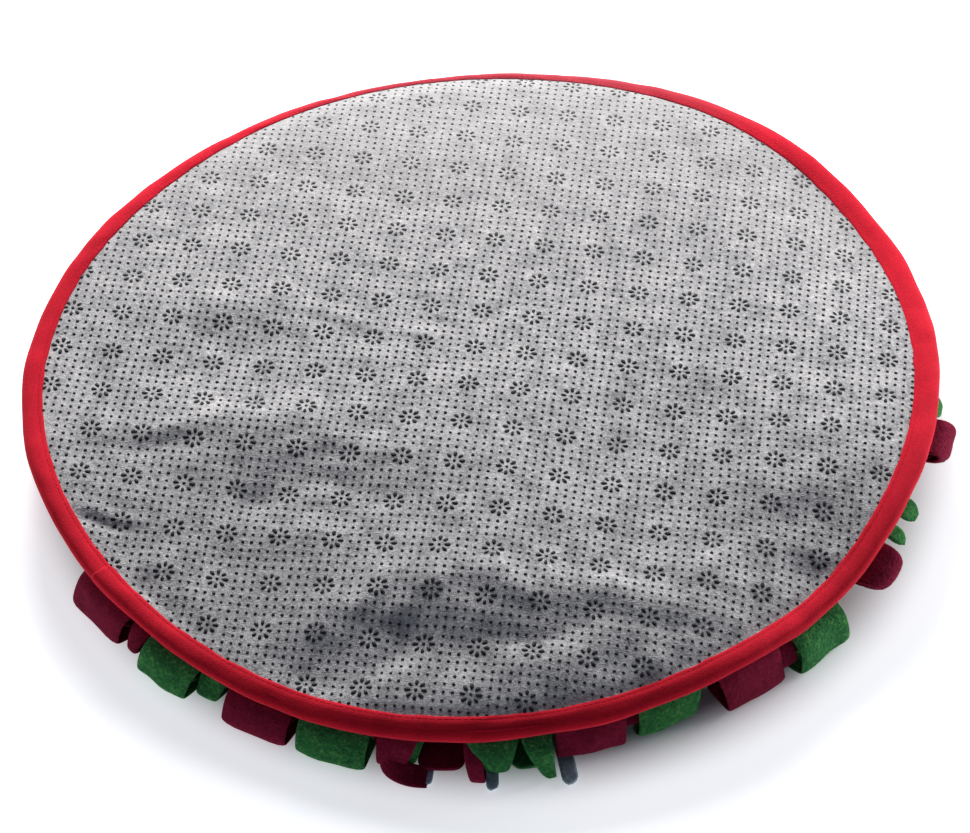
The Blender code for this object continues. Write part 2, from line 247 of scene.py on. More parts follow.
def new_mesh(name, points, faces, edges=()):
    """A smooth mesh at the origin, from points in metres."""
    mesh = bpy.data.meshes.new(name)
    mesh.from_pydata(np.asarray(points).tolist(), list(edges), faces)
    mesh.shade_smooth()
    return new_object(name, mesh)


def new_piece(name, points, faces, material, uv=None, edges=()):
    """A mesh with its finish.  uv gives one pair of metres for each point."""
    piece = new_mesh(name, points, faces, edges)
    mesh = piece.data
    mesh.materials.append(material)
    if uv is not None:
        layer = mesh.uv_layers.new(name="cloth")
        corners = np.empty(len(mesh.loops), dtype=np.int32)
        mesh.loops.foreach_get("vertex_index", corners)
        layer.data.foreach_set("uv", np.asarray(uv, dtype=np.float32)[corners].ravel())
    return piece


def settle(piece):
    """The piece as a plain mesh, with its modifiers worked in."""
    evaluated = piece.evaluated_get(bpy.context.evaluated_depsgraph_get())
    mesh = bpy.data.meshes.new_from_object(evaluated)
    piece.modifiers.clear()
    old, piece.data = piece.data, mesh
    mesh.name = piece.name
    bpy.data.meshes.remove(old)
    return piece


def ready(piece):
    """The finished piece joins the mat's one body, and its triangles are counted."""
    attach(piece, "root")
    print(f"{piece.name}: {sum(len(face.vertices) - 2 for face in piece.data.polygons)} triangles")
    return piece


# %% Faces between rings
def ring_faces(rings, count, closed=False):
    """Faces that join each ring of points to the next one, and if closed the last to the first."""
    faces = []
    for ring in range(rings if closed else rings - 1):
        low, high = ring * count, (ring + 1) % rings * count
        for i in range(count):
            after = (i + 1) % count
            faces.append((low + i, low + after, high + after, high + i))
    return faces


print("a tube of 3 rings of 8 points has", len(ring_faces(3, 8)), "faces")


# %% Nodes as sums
MIX_FACTOR, MIX_FIRST, MIX_SECOND, MIX_RESULT = 0, 6, 7, 2      # the mix node's colour sockets


class Wire:
    """One output of a node."""

    def __init__(self, tree, node, socket):
        self.tree, self.made, self.socket = tree, node, socket

    def __getitem__(self, output):
        return Wire(self.tree, self.made, self.made.outputs[output])

    def __add__(self, other):
        return self.tree.node("ShaderNodeMath", {"operation": "ADD"}, {0: self, 1: other})

    def __mul__(self, other):
        return self.tree.node("ShaderNodeMath", {"operation": "MULTIPLY"}, {0: self, 1: other})

    __radd__, __rmul__ = __add__, __mul__


class Tree:
    """A shader's or a geometry's node tree."""

    def __init__(self, node_tree):
        self.node_tree = node_tree

    def node(self, kind, settings=None, sockets=None, output=0):
        """A new node with these settings and inputs, as the wire from one of its outputs."""
        made = self.node_tree.nodes.new(kind)
        for name, value in (settings or {}).items():
            setattr(made, name, value)
        for name, value in (sockets or {}).items():
            self.feed(made.inputs[name], value)
        return Wire(self, made, made.outputs[output] if made.outputs else None)

    def feed(self, socket, value):
        if isinstance(value, Wire):
            self.node_tree.links.new(value.socket, socket)
        else:
            socket.default_value = value

    def place(self):
        return self.node("ShaderNodeTexCoord", output="Object")

    def noise(self, place, scale, detail=2.0, roughness=0.5):
        """Smooth noise with this many waves to a metre."""
        sockets = {"Vector": place, "Scale": scale, "Detail": detail, "Roughness": roughness}
        return self.node("ShaderNodeTexNoise", None, sockets, "Fac")

    def stretched(self, place, scale, turn=0.0):
        """The same place, squeezed and turned, so that a pattern on it gets a direction."""
        sockets = {"Vector": place, "Rotation": (0.0, 0.0, turn), "Scale": scale}
        return self.node("ShaderNodeMapping", None, sockets)

    def mix(self, factor, first, second):
        """The first colour where the factor is 0, the second where it is 1."""
        first, second = ((*colour, 1.0) if isinstance(colour, tuple) else colour for colour in (first, second))
        sockets = {MIX_FACTOR: factor, MIX_FIRST: first, MIX_SECOND: second}
        return self.node("ShaderNodeMix", {"data_type": "RGBA"}, sockets, MIX_RESULT)

    def ramp(self, value, low, high):
        """0 under low, 1 over high."""
        return self.node("ShaderNodeMapRange", None, {"Value": value, "From Min": low, "From Max": high})

    def towards_far_edge(self, place, start, end):
        """0 before start, 1 past end, in millimetres from the middle towards the far edge."""
        across = self.node("ShaderNodeSeparateXYZ", None, {"Vector": place}, "Y")
        return self.ramp(across, start * MM, end * MM)

    def attribute(self, name, kind="FLOAT"):
        return self.node("GeometryNodeInputNamedAttribute", {"data_type": kind}, {"Name": name})


def new_finish(name, roughness, specular=0.5, sheen=0.0, sheen_tint=(1.0, 1.0, 1.0)):
    """A material with its tree and shader node.  Sheen is the same all over a cloth."""
    material = bpy.data.materials.new(name)
    material.use_nodes = True
    shader = material.node_tree.nodes["Principled BSDF"]
    shader.inputs["Roughness"].default_value = roughness
    shader.inputs["Specular IOR Level"].default_value = specular
    shader.inputs["Sheen Weight"].default_value = sheen
    shader.inputs["Sheen Roughness"].default_value = 0.4
    shader.inputs["Sheen Tint"].default_value = (*sheen_tint, 1.0)
    return material, Tree(material.node_tree), shader


def cover(tree, shader, colour, relief, strength, depth):
    """A cloth's colour and its fine relief, with the relief's depth in metres."""
    tree.feed(shader.inputs["Base Color"], colour)
    sockets = {"Height": relief, "Strength": strength, "Distance": depth}
    tree.feed(shader.inputs["Normal"], tree.node("ShaderNodeBump", None, sockets))


# %% [markdown]
# ## Materials
#
# Heather felt is pressed from grey, white and near-black fibres, and the near-black ones carry a
# painted blue shade.  An image of felt would blur close up and repeat from afar, so its colour is
# worked out in layers of fine noise, two of them stretched crosswise.  Fleece is a dense brushed
# pile: it clumps into small tufts, with painted light on their tips and painted shade between them.
# The binding is a brushed cotton tape, painted darker in the hollows of its relief and lighter on
# its nap.  The dots are black rubber, printed soft and set hard, with painted highlights in patches.
# Towards the far edge the felt is painted greyer and flatter as shade, the rubber turns lighter
# grey, and the tape is painted darker and greyer, as shade and sheen.

# %% Colours
COLOURS = {
    # red, green and blue, linear
    "dark wool": (0.214, 0.214, 0.226),
    "light wool": (0.730, 0.714, 0.718),
    # near-black fibres of the heather, tinted blue as painted shade
    "near-black fibre": (0.060, 0.063, 0.086),
    "white fibre": (0.860, 0.850, 0.850),
    # painted shade: the felt greyer and flatter towards the far edge
    "worn wool": (0.400, 0.390, 0.394),
    "rubber": (0.011, 0.011, 0.013),
    # painted highlights, in patches on the rubber
    "dusty rubber": (0.022, 0.022, 0.025),
    # the rubber turns this lighter grey towards the far edge
    "worn rubber": (0.120, 0.120, 0.124),
    # the tape's red, with painted shade in the hollows of its relief; the next colour is painted light on its
    # raised nap
    "tape": (0.50, 0.004, 0.019),
    "brushed tape": (0.66, 0.007, 0.027),
    # painted shade and sheen: the tape darker and greyer towards the far edge
    "faded tape": (0.340, 0.028, 0.046),
    "sheen of the tape": (1.0, 0.45, 0.55),
    # the thread's red, with painted shade in the grooves of its twist; the next colour is painted light on its
    # ridges
    "thread": (0.46, 0.004, 0.017),
    "twist of the thread": (0.60, 0.006, 0.024),
}
FLEECE_COLOURS = {
    # painted shade between the tufts, the main colour, painted light on the brushed tips
    "red": ((0.134, 0.004, 0.021), (0.210, 0.008, 0.036), (0.276, 0.015, 0.054)),
    "green": ((0.014, 0.090, 0.030), (0.038, 0.200, 0.056), (0.145, 0.400, 0.098)),
    # the pale fleece is white, given the blue-grey that it shows in shade: painted shade
    "pale": ((0.250, 0.340, 0.390), (0.400, 0.520, 0.580), (0.540, 0.670, 0.730)),
}
FAR_SHARE_FROM, FAR_SHARE_TO = 20.0, 190.0          # where the felt's painted shade, the rubber's lighter grey and the smaller drops come in, towards the far edge
FAR_TAPE_PAINT_FROM, FAR_TAPE_PAINT_TO = 174.0, 216.0       # where the tape is painted darker and greyer, as shade and sheen
print(len(COLOURS) + 3 * len(FLEECE_COLOURS), "colours")


# %% Felt
def make_felt():
    material, tree, shader = new_finish("heather_felt", 1.0, specular=0.2, sheen=0.04)
    place = tree.place()
    clouds = tree.noise(place, 70.0, 3.0, 0.6)
    mottle = tree.noise(place, 360.0, 3.0, 0.65)
    lengthways = tree.noise(tree.stretched(place, (620.0, 1500.0, 900.0), 0.9), 1.0, 2.0, 0.6)
    crossways = tree.noise(tree.stretched(place, (1500.0, 640.0, 900.0), 0.7), 1.0, 2.0, 0.6)
    fibres = lengthways * 0.5 + crossways * 0.5
    grey = tree.ramp(fibres * 0.42 + mottle * 0.32 + clouds * 0.26, 0.39, 0.63)
    colour = tree.mix(grey, COLOURS["dark wool"], COLOURS["light wool"])
    # near-black fibres, with a painted blue shade
    colour = tree.mix(tree.ramp(crossways, 0.36, 0.27) * 0.6, colour, COLOURS["near-black fibre"])
    colour = tree.mix(tree.ramp(lengthways, 0.62, 0.72) * 0.55, colour, COLOURS["white fibre"])
    # painted shade: the felt greys and flattens towards the far edge
    far_share = tree.towards_far_edge(place, FAR_SHARE_FROM, FAR_SHARE_TO)
    colour = tree.mix(far_share * 0.6, colour, COLOURS["worn wool"])
    cover(tree, shader, colour, fibres + mottle * 0.7, 0.6, 0.0010)
    return material


felt_finish = make_felt()
print("finish:", felt_finish.name)


# %% Rubber
def make_rubber():
    material, tree, shader = new_finish("black_rubber", 0.7, specular=0.3)
    place = tree.place()
    # patches of painted highlight on the rubber
    painted_highlights = tree.ramp(tree.noise(place, 60.0), 0.35, 0.65)
    colour = tree.mix(painted_highlights, COLOURS["rubber"], COLOURS["dusty rubber"])
    # lighter grey towards the far edge
    far_share = tree.towards_far_edge(place, FAR_SHARE_FROM, FAR_SHARE_TO)
    tree.feed(shader.inputs["Base Color"], tree.mix(far_share * 0.8, colour, COLOURS["worn rubber"]))
    tree.feed(shader.inputs["Roughness"], 0.62 + tree.noise(place, 1500.0) * 0.2)
    return material


rubber_finish = make_rubber()
print("finish:", rubber_finish.name)


# %% Fleece
def make_fleece(name, painted_shade_between_tufts, full, tip):
    """The first colour is painted shade between the tufts, the second the main one, the third painted light on
    the brushed tips.
    """
    material, tree, shader = new_finish(name, 1.0, specular=0.15, sheen=0.08, sheen_tint=tip)
    place = tree.place()
    tufts = tree.noise(place, 620.0, 3.0, 0.6)
    clumps = tree.noise(place, 210.0, 2.0, 0.55)
    nap = tree.noise(tree.stretched(place, (900.0, 900.0, 2600.0)), 1.0)
    height = tufts * 0.5 + clumps * 0.3 + nap * 0.2
    # darker where the pile is low, as painted shade, and lighter on the tips, as painted light
    colour = tree.mix(tree.ramp(height, 0.36, 0.53), painted_shade_between_tufts, full)
    colour = tree.mix(tree.ramp(height, 0.53, 0.68), colour, tip)
    cover(tree, shader, colour, height, 0.8, 0.0016)
    return material


FLEECES = {name: make_fleece(f"{name}_fleece", *colours) for name, colours in FLEECE_COLOURS.items()}
print("finishes:", ", ".join(finish.name for finish in FLEECES.values()))


# %% Binding tape
def make_tape():
    sheen = {"sheen": 0.06, "sheen_tint": COLOURS["sheen of the tape"]}
    material, tree, shader = new_finish("binding_tape", 0.95, specular=0.2, **sheen)
    place = tree.place()
    cloth = tree.node("ShaderNodeUVMap", {"uv_map": "cloth"})
    weave = tree.node(
        "ShaderNodeTexWave",
        {"wave_type": "BANDS", "bands_direction": "DIAGONAL"},
        {"Vector": cloth, "Scale": 420.0, "Distortion": 1.2, "Detail": 1.0, "Detail Scale": 2.0},
        "Fac",
    )
    brushed = tree.noise(place, 900.0, 3.0, 0.6)
    patches = tree.noise(place, 55.0)
    # random tone that follows the relief: darker in its hollows as painted shade, lighter on the raised nap as
    # painted light
    nap = tree.ramp(brushed * 0.6 + patches * 0.4, 0.38, 0.62)
    colour = tree.mix(nap, COLOURS["tape"], COLOURS["brushed tape"])
    # towards the far edge the tape is painted darker and greyer, as shade and sheen
    ramped = tree.towards_far_edge(place, FAR_TAPE_PAINT_FROM, FAR_TAPE_PAINT_TO)
    colour = tree.mix(ramped * 0.9, colour, COLOURS["faded tape"])
    cover(tree, shader, colour, weave * 0.12 + brushed * 0.6 + patches * 0.6, 0.45, 0.0007)
    return material


tape_finish = make_tape()
print("finish:", tape_finish.name)

# %% [markdown]
# ## The felt back
#
# The back is one disc of felt.  Rings of points would crowd together at its middle, so a square grid
# is laid over it instead, and the points past the edge are drawn in to it.  The edge itself is
# hidden in the binding's fold.  Each point is lifted to the height of the swells and creases there,
# and a Solidify modifier then gives the sheet its thickness.

# %% One sheet
GRID_PITCH = 2.2
FELT_EDGE_INSET = 4.8     # it ends this far inside the mat's edge, in the binding's fold
LUMPS = [
    # pitch, height, seed
    (17.0, 0.50, 3.0),
    (45.0, 1.00, 9.0),
    (8.0, 0.15, 15.0),
]
LUMP_FADE = 12.0          # they die out this far inside the binding's seam


def unevenness(points, pitch, height, seed):
    """Slow, smooth noise at each of some points, in millimetres."""
    shift = Vector((seed, 0.0, 0.0))
    return np.array([height * noise.noise(Vector(point) / pitch + shift) for point in points])


def build_felt():
    reach = ceil(1.1 * MEAN_RADIUS / GRID_PITCH)
    steps = np.arange(-reach, reach + 1) * GRID_PITCH
    x, y = (values.ravel() for values in np.meshgrid(steps, steps, indexing="ij"))
    radius, bearing = np.hypot(x, y), np.degrees(np.arctan2(y, x)) % 360
    limit = edge_radius(bearing) - FELT_EDGE_INSET
    inside = (radius < limit).reshape(len(steps), len(steps))
    kept = inside[:-1, :-1] | inside[1:, :-1] | inside[1:, 1:] | inside[:-1, 1:]
    corner = np.arange(len(x)).reshape(inside.shape)
    quads = np.stack([corner[:-1, :-1], corner[1:, :-1], corner[1:, 1:], corner[:-1, 1:]], axis=-1)[kept]
    used, quads = np.unique(quads, return_inverse=True)
    radius, bearing = np.minimum(radius, limit)[used], bearing[used]
    x, y = around(radius, bearing)
    spots = np.stack([x, y, 0 * x], axis=-1)
    lumps = sum(unevenness(spots, pitch, height, seed) for pitch, height, seed in LUMPS)
    lumps = lumps * smooth_step((seam_radius(bearing) - radius) / LUMP_FADE)
    points = in_frame(x, y, felt_middle(radius, bearing) + lumps)
    felt = new_piece("felt_back", points, quads.reshape(-1, 4).tolist(), felt_finish)
    thick = felt.modifiers.new("thickness", "SOLIDIFY")
    thick.thickness, thick.offset = FELT_THICKNESS * MM, 0.0
    return settle(felt)


felt = ready(build_felt())
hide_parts("back_sheet")

# %% [markdown]
# ## Rubber dots and flowers
#
# The back is printed with rubber so that it grips.  A drawn pattern would look flat from the side,
# so each drop is real.  The print is a square grid of dots.  Every sixth dot each way is the heart
# of a flower, whose eight petals take the place of the dots round it.  Geometry Nodes drop each
# point of that grid on to the felt with a ray, turn it to face out of the cloth there, and put a
# small soft-edged drop of rubber on it.

# %% Where the drops go
FLOWER_PITCH = 25.88
DOTS_A_FLOWER = 6         # dots from one flower to the next
FIRST_FLOWER = (-0.254, 0.267)        # in flower pitches from the cut's middle
ALONG, ACROSS = (0.98943, -0.13322), (-0.13159, -0.98863)      # the print's two directions
PRINT_INSET = 1.0         # printed this far under the binding
PETALS = 8
PETAL_REACH = 0.91        # from the flower's heart to a petal's middle, in dot pitches


def print_grid():
    """Places and turns of the dots and of the petals, as two tables of x, y and turn."""
    count = ceil(MEAN_RADIUS / FLOWER_PITCH * DOTS_A_FLOWER) + DOTS_A_FLOWER
    reach = PETAL_REACH * FLOWER_PITCH / DOTS_A_FLOWER
    dots, petals = [], []
    for i in range(-count, count + 1):
        for j in range(-count, count + 1):
            u, v = i / DOTS_A_FLOWER, j / DOTS_A_FLOWER
            x = FLOWER_PITCH * (FIRST_FLOWER[0] + u * ALONG[0] + v * ACROSS[0])
            y = FLOWER_PITCH * (FIRST_FLOWER[1] + u * ALONG[1] + v * ACROSS[1])
            if np.hypot(x, y) > seam_radius(degrees(np.arctan2(y, x)) % 360) + PRINT_INSET:
                continue
            steps_off = [(step + 1) % DOTS_A_FLOWER - 1 for step in (i, j)]
            if max(steps_off) > 1 or steps_off == [0, 0]:
                dots.append((x, y, 0.0))
            if steps_off == [0, 0]:
                for petal in range(PETALS):
                    turn = 2 * pi * petal / PETALS + np.arctan2(ALONG[1], ALONG[0])
                    petals.append((x + reach * cos(turn), y + reach * sin(turn), turn))
    return np.array(dots), np.array(petals)


dots, petals = print_grid()
print(len(dots), "dots and", len(petals), "petals")


# %% The drop of rubber
DROP_HEIGHT = 0.42
DROP_RINGS = [
    # share of the drop's size, share of its height
    (1.0, -0.35),
    (0.86, 0.62),
]


def rubber_drop(name, half_length, half_width, sides, swelling=0.0):
    """A low drop with a rounded top.  Swelling makes its outer end the wider one."""
    turns = np.arange(sides) * 2 * pi / sides
    along, across = half_length * np.cos(turns), half_width * np.sin(turns) * (1 + swelling * np.cos(turns))
    rings = [
        np.stack([share * along, share * across, 0 * turns + level * DROP_HEIGHT], axis=-1)
        for share, level in DROP_RINGS
    ]
    points = np.concatenate([*rings, [[0.0, 0.0, DROP_HEIGHT]]]) * MM
    top, crest = (len(rings) - 1) * sides, len(rings) * sides
    cap = [(top + i, top + (i + 1) % sides, crest) for i in range(sides)]
    return new_mesh(name, points, ring_faces(len(rings), sides) + cap)


dot = rubber_drop("dot", 0.90, 0.90, 8)
petal = rubber_drop("petal", 1.64, 0.97, 10, swelling=0.25)
print("one petal has", len(petal.data.polygons), "faces")


# %% Trees that keep what they make
def new_geometry_tree(name, inputs):
    """A Geometry Nodes tree with named inputs after the geometry itself."""
    group = bpy.data.node_groups.new(name, "GeometryNodeTree")
    for socket, kind in {"Geometry": "Geometry", **inputs}.items():
        group.interface.new_socket(socket, in_out="INPUT", socket_type="NodeSocket" + kind)
    group.interface.new_socket("Geometry", in_out="OUTPUT", socket_type="NodeSocketGeometry")
    tree = Tree(group)
    return tree, tree.node("NodeGroupInput")


def close_tree(tree, geometry, finish):
    """Real geometry in one material comes out of the tree."""
    real = tree.node("GeometryNodeRealizeInstances", None, {"Geometry": geometry})
    painted = tree.node("GeometryNodeSetMaterial", None, {"Geometry": real, "Material": finish})
    tree.node("NodeGroupOutput", None, {"Geometry": painted})
    print(tree.node_tree.name + ":", len(tree.node_tree.nodes), "nodes")


def run_tree(piece, tree, values):
    """Runs the tree on a piece with these values for its named inputs, and keeps the result."""
    modifier = piece.modifiers.new(tree.node_tree.name, "NODES")
    modifier.node_group = tree.node_tree
    for item in tree.node_tree.interface.items_tree:
        if item.in_out == "INPUT" and item.name in values:
            modifier[item.identifier] = values[item.name]
    return settle(piece)


# %% The printing tree
FLOAT_MIN, FLOAT_MAX, FLOAT_VALUE = 2, 3, 1      # sockets of the random node, whose names repeat


def make_print_tree():
    inputs = {"Felt": "Object", "Drop": "Object", "Material": "Material"}
    inputs |= {"Smallest": "Float", "Largest": "Float", "Seed": "Int"}
    tree, given = new_geometry_tree("print on felt", inputs)
    felt_object = {"Object": given["Felt"]}
    felt_shape = tree.node("GeometryNodeObjectInfo", {"transform_space": "RELATIVE"}, felt_object, "Geometry")
    drop_shape = tree.node("GeometryNodeObjectInfo", None, {"Object": given["Drop"]}, "Geometry")
    ray = {"Target Geometry": felt_shape, "Ray Direction": (0.0, 0.0, -1.0), "Ray Length": 1.0}
    hit = tree.node("GeometryNodeRaycast", None, ray, "Hit Position")
    upright = tree.node("ShaderNodeCombineXYZ", None, {"Z": tree.attribute("turn")})
    turned = tree.node("FunctionNodeEulerToRotation", None, {"Euler": upright})
    lean = {"Rotation": turned, "Vector": hit["Hit Normal"]}
    facing = tree.node("FunctionNodeAlignRotationToVector", {"axis": "Z"}, lean)
    store = {"Geometry": given["Geometry"], "Name": "facing", "Value": facing}
    kept = tree.node("GeometryNodeStoreNamedAttribute", {"data_type": "QUATERNION"}, store)
    laid = tree.node("GeometryNodeSetPosition", None, {"Geometry": kept, "Position": hit})
    spread = {FLOAT_MIN: given["Smallest"], FLOAT_MAX: given["Largest"], "Seed": given["Seed"]}
    size = tree.node("FunctionNodeRandomValue", {"data_type": "FLOAT"}, spread, FLOAT_VALUE)
    size = size * tree.attribute("fullness")
    scale = tree.node("ShaderNodeCombineXYZ", None, {"X": size, "Y": size, "Z": size})
    rotation = tree.attribute("facing", "QUATERNION")
    instances = {"Points": laid, "Instance": drop_shape, "Rotation": rotation, "Scale": scale}
    drops = tree.node("GeometryNodeInstanceOnPoints", None, instances)
    close_tree(tree, drops, given["Material"])
    return tree


print_tree = make_print_tree()

# %% The print
RAYS_FROM = 200.0         # over the floor
SMALLEST_DROP, LARGEST_DROP, WORN_SHARE = 0.88, 1.1, 0.14      # shares of a drop's size


def print_drops(name, table, drop, seed):
    piece = new_piece(name, in_frame(table[:, 0], table[:, 1], RAYS_FROM), [], rubber_finish)
    far_share = smooth_step((table[:, 1] - FAR_SHARE_FROM) / (FAR_SHARE_TO - FAR_SHARE_FROM))
    for given, values in (("turn", table[:, 2]), ("fullness", 1 - WORN_SHARE * far_share)):
        layer = piece.data.attributes.new(given, "FLOAT", "POINT")
        layer.data.foreach_set("value", values.astype(np.float32))
    values = {"Felt": felt, "Drop": drop, "Material": rubber_finish, "Seed": seed}
    run_tree(piece, print_tree, {**values, "Smallest": SMALLEST_DROP, "Largest": LARGEST_DROP})
    bpy.data.objects.remove(drop)
    return ready(piece)


print_drops("rubber_dots", dots, dot, 1)
print_drops("rubber_petals", petals, petal, 2)

# %% [markdown]
# ## The binding
#
# A long tape of brushed red cotton is folded over the raw edge of the felt and sewn through.  A
# curve with a bevel would make it a plain pipe, so its section is drawn once: a lip on top of the
# felt with a groove where the thread pulls it down, a full roll round the edge, and a lip
# underneath.  The section is then carried round the mat, a little unevenly, as tape is when it is
# eased round a curve.  In front and at the far edge its outer part is rolled down.  Where its two
# ends meet, one is folded and laid over the other.

# %% The folded tape
TAPE_SECTION = [
    # share of the width in from the mat's edge, height over the middle of the felt
    (1.000, 0.96), (1.012, 1.08), (1.000, 1.28), (0.960, 1.62), (0.890, 1.98), (0.820, 2.08),
    (0.740, 2.38), (0.640, 2.80), (0.520, 3.04), (0.390, 3.12), (0.270, 3.04), (0.160, 2.66),
    (0.070, 1.90), (0.020, 0.80), (0.002, -0.50), (0.020, -1.70), (0.090, -2.75), (0.200, -3.50),
    (0.340, -3.90), (0.480, -3.90), (0.620, -3.65), (0.740, -3.15), (0.820, -2.60), (0.890, -2.75),
    (0.960, -2.60), (1.010, -2.05), (1.000, -1.30), (0.640, -1.28), (0.300, -1.28), (0.255, 0.00),
    (0.300, 1.28), (0.640, 1.28),
]
TOP_GROOVE, UNDER_GROOVE, UPPER_SIDE, OUTER_SIDE = 5, 22, 14, 27      # points of the section, counted from 0
TAPE_STATIONS = 720       # round the mat
LAP_BEARING, LAP_LENGTH, LAP_HEIGHT = 215.0, 9.0, 0.55      # where the ends are laid over each other
LAP_OVERHANG = 0.012      # share of the width by which the upper end is the wider one
LAP_FOLD = 0.25           # degrees over which the upper end's folded edge rises
LAP_STATIONS = [-0.08, 0.0, 0.06, 0.12, 0.18, 0.26]      # more stations about that edge, in degrees
ROLLED_OVER = [
    # name, bearing, half span, how far down the outer part of the tape goes
    ("front", 264.0, 66.0, 2.4),
    ("far edge", 102.0, 44.0, 1.9),
]
ROLLS_FROM, ROLLS_OVER = 0.90, 0.80       # shares of the tape's width
HELD_FROM, HELD_SHARE = 0.85, 0.35        # past the seam the tape keeps this share of its puckers
TAPE_UNEVENNESS = {
    # what it moves: pitch, height, seed, the seed's step from one line of the section to the next
    "puckers": (13.0, 0.45, 20.0, 0.12),
    "waves": (38.0, 0.55, 40.0, 0.05),
    "outer half": (24.0, 0.70, 60.0, 0.0),
    "inner edge": (9.0, 0.50, 70.0, 0.0),
}


def lap(bearing):
    """How much the laid-over end stands up, from its folded front edge back to where it ends."""
    past = (bearing - LAP_BEARING) % 360
    ramped = smooth_step(past / LAP_LENGTH)
    return LAP_HEIGHT * smooth_step(past / LAP_FOLD) * (1 - ramped) * (past < LAP_LENGTH)


def rolled(share, bearing):
    """How far the tape's upper side is rolled down there."""
    drop = 0.0
    for _, middle, half_span, depth in ROLLED_OVER:
        drop = drop + depth * smooth_step(1 - np.abs(bearing - middle) / half_span)
    return drop * smooth_step((ROLLS_FROM - share) / ROLLS_OVER)


def build_binding():
    bearings = np.arange(TAPE_STATIONS) * 360 / TAPE_STATIONS
    bearings = np.sort(np.concatenate([bearings, LAP_BEARING + np.array(LAP_STATIONS)]))
    edge, width, raised = edge_radius(bearings), binding_width(bearings), lap(bearings)
    overhang = (raised > 0) * LAP_OVERHANG
    rim = np.stack([*around(MEAN_RADIUS, bearings), 0 * bearings], axis=-1)

    def uneven(what, line):
        pitch, height, seed, step = TAPE_UNEVENNESS[what]
        return unevenness(rim, pitch, height, seed + step * line)

    rows, cloth, girth = [], [], 0.0
    for line, (share, height) in enumerate(TAPE_SECTION):
        outside = line < OUTER_SIDE
        radius = edge - (share + overhang) * width + raised * max(0.0, 0.5 - share)
        lift = height + 0 * bearings
        if outside:
            puckers = uneven("puckers", line) + uneven("waves", line)
            lift += puckers * (HELD_SHARE if share >= HELD_FROM else 1.0) + raised * (1 if height > 0 else -1)
            radius += uneven("outer half", line) * (share < 0.5) + uneven("inner edge", line) * (share > 0.9)
        if line <= UPPER_SIDE:
            lift -= rolled(share, bearings)
        body = felt_middle(np.minimum(radius, edge), bearings)
        rows.append(in_frame(*around(radius, bearings), body + lift))
        if line:
            girth += float(np.linalg.norm(rows[-1][0] - rows[-2][0]))
        cloth.append(np.stack([np.radians(bearings) * MEAN_RADIUS * MM, 0 * bearings + girth], axis=-1))
    faces = ring_faces(len(rows), len(bearings), closed=True)
    piece = new_piece("binding_roll", np.concatenate(rows), faces, tape_finish, uv=np.concatenate(cloth))
    return piece, rows


binding, tape_lines = build_binding()
ready(binding)
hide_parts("binding")

# %% [markdown]
# ## Stitches
#
# A machine seam holds the binding.  Its thread lies in the groove that it has pulled into the tape,
# above and below.  One long thread would hide where it goes down, so each stitch is one short,
# plump piece of thread with a dip on either side.  Geometry Nodes lay them one after another along
# the groove's line.

# %% One stitch
STITCH_PITCH = 3.1
STITCH_SIDES = 6
STITCH_SUNK = 0.06        # its middle lies this far down in the groove
STITCH_RINGS = [
    # along the thread, radius
    (-1.30, 0.08),
    (-0.95, 0.17),
    (0.0, 0.21),
    (0.95, 0.17),
    (1.30, 0.08),
]


def make_stitch():
    turns = np.arange(STITCH_SIDES) * 2 * pi / STITCH_SIDES
    rings = [
        np.stack([radius * np.cos(turns), radius * np.sin(turns), 0 * turns + along], axis=-1)
        for along, radius in STITCH_RINGS
    ]
    first, last = tuple(range(STITCH_SIDES)), (len(rings) - 1) * STITCH_SIDES
    ends = [first[::-1], tuple(last + i for i in first)]
    return new_mesh("stitch", np.concatenate(rings) * MM, ring_faces(len(rings), STITCH_SIDES) + ends)


def make_thread():
    material, tree, shader = new_finish("sewing_thread", 0.9, specular=0.1)
    twist = tree.noise(tree.stretched(tree.place(), (2600.0, 2600.0, 2600.0), 0.6), 1.0, 1.0)
    # painted shade in the twist's grooves, painted light on its ridges
    colour = tree.mix(tree.ramp(twist, 0.35, 0.65), COLOURS["thread"], COLOURS["twist of the thread"])
    tree.feed(shader.inputs["Base Color"], colour)
    return material


stitch, thread_finish = make_stitch(), make_thread()
print("finish:", thread_finish.name)


# %% Laid along a line
def make_seam_tree():
    tree, given = new_geometry_tree("seam", {"Stitch": "Object", "Material": "Material", "Pitch": "Float"})
    shape = tree.node("GeometryNodeObjectInfo", None, {"Object": given["Stitch"]}, "Geometry")
    line = tree.node("GeometryNodeMeshToCurve", None, {"Mesh": given["Geometry"]})
    spacing = {"Curve": line, "Length": given["Pitch"]}
    places = tree.node("GeometryNodeCurveToPoints", {"mode": "LENGTH"}, spacing, "Points")
    instances = {"Points": places, "Instance": shape, "Rotation": places["Rotation"]}
    stitches = tree.node("GeometryNodeInstanceOnPoints", None, instances)
    close_tree(tree, stitches, given["Material"])
    return tree


def sew(name, groove, lift):
    """Stitches along one line of the tape's section."""
    line = tape_lines[groove] + np.array([0.0, 0.0, lift * MM])
    edges = [(i, (i + 1) % len(line)) for i in range(len(line))]
    piece = new_piece(name, line, [], thread_finish, edges=edges)
    run_tree(piece, seam_tree, {"Stitch": stitch, "Material": thread_finish, "Pitch": STITCH_PITCH * MM})
    return ready(piece)


seam_tree = make_seam_tree()
sew("upper_stitches", TOP_GROOVE, -STITCH_SUNK)
sew("under_stitches", UNDER_GROOVE, STITCH_SUNK)
bpy.data.objects.remove(stitch)

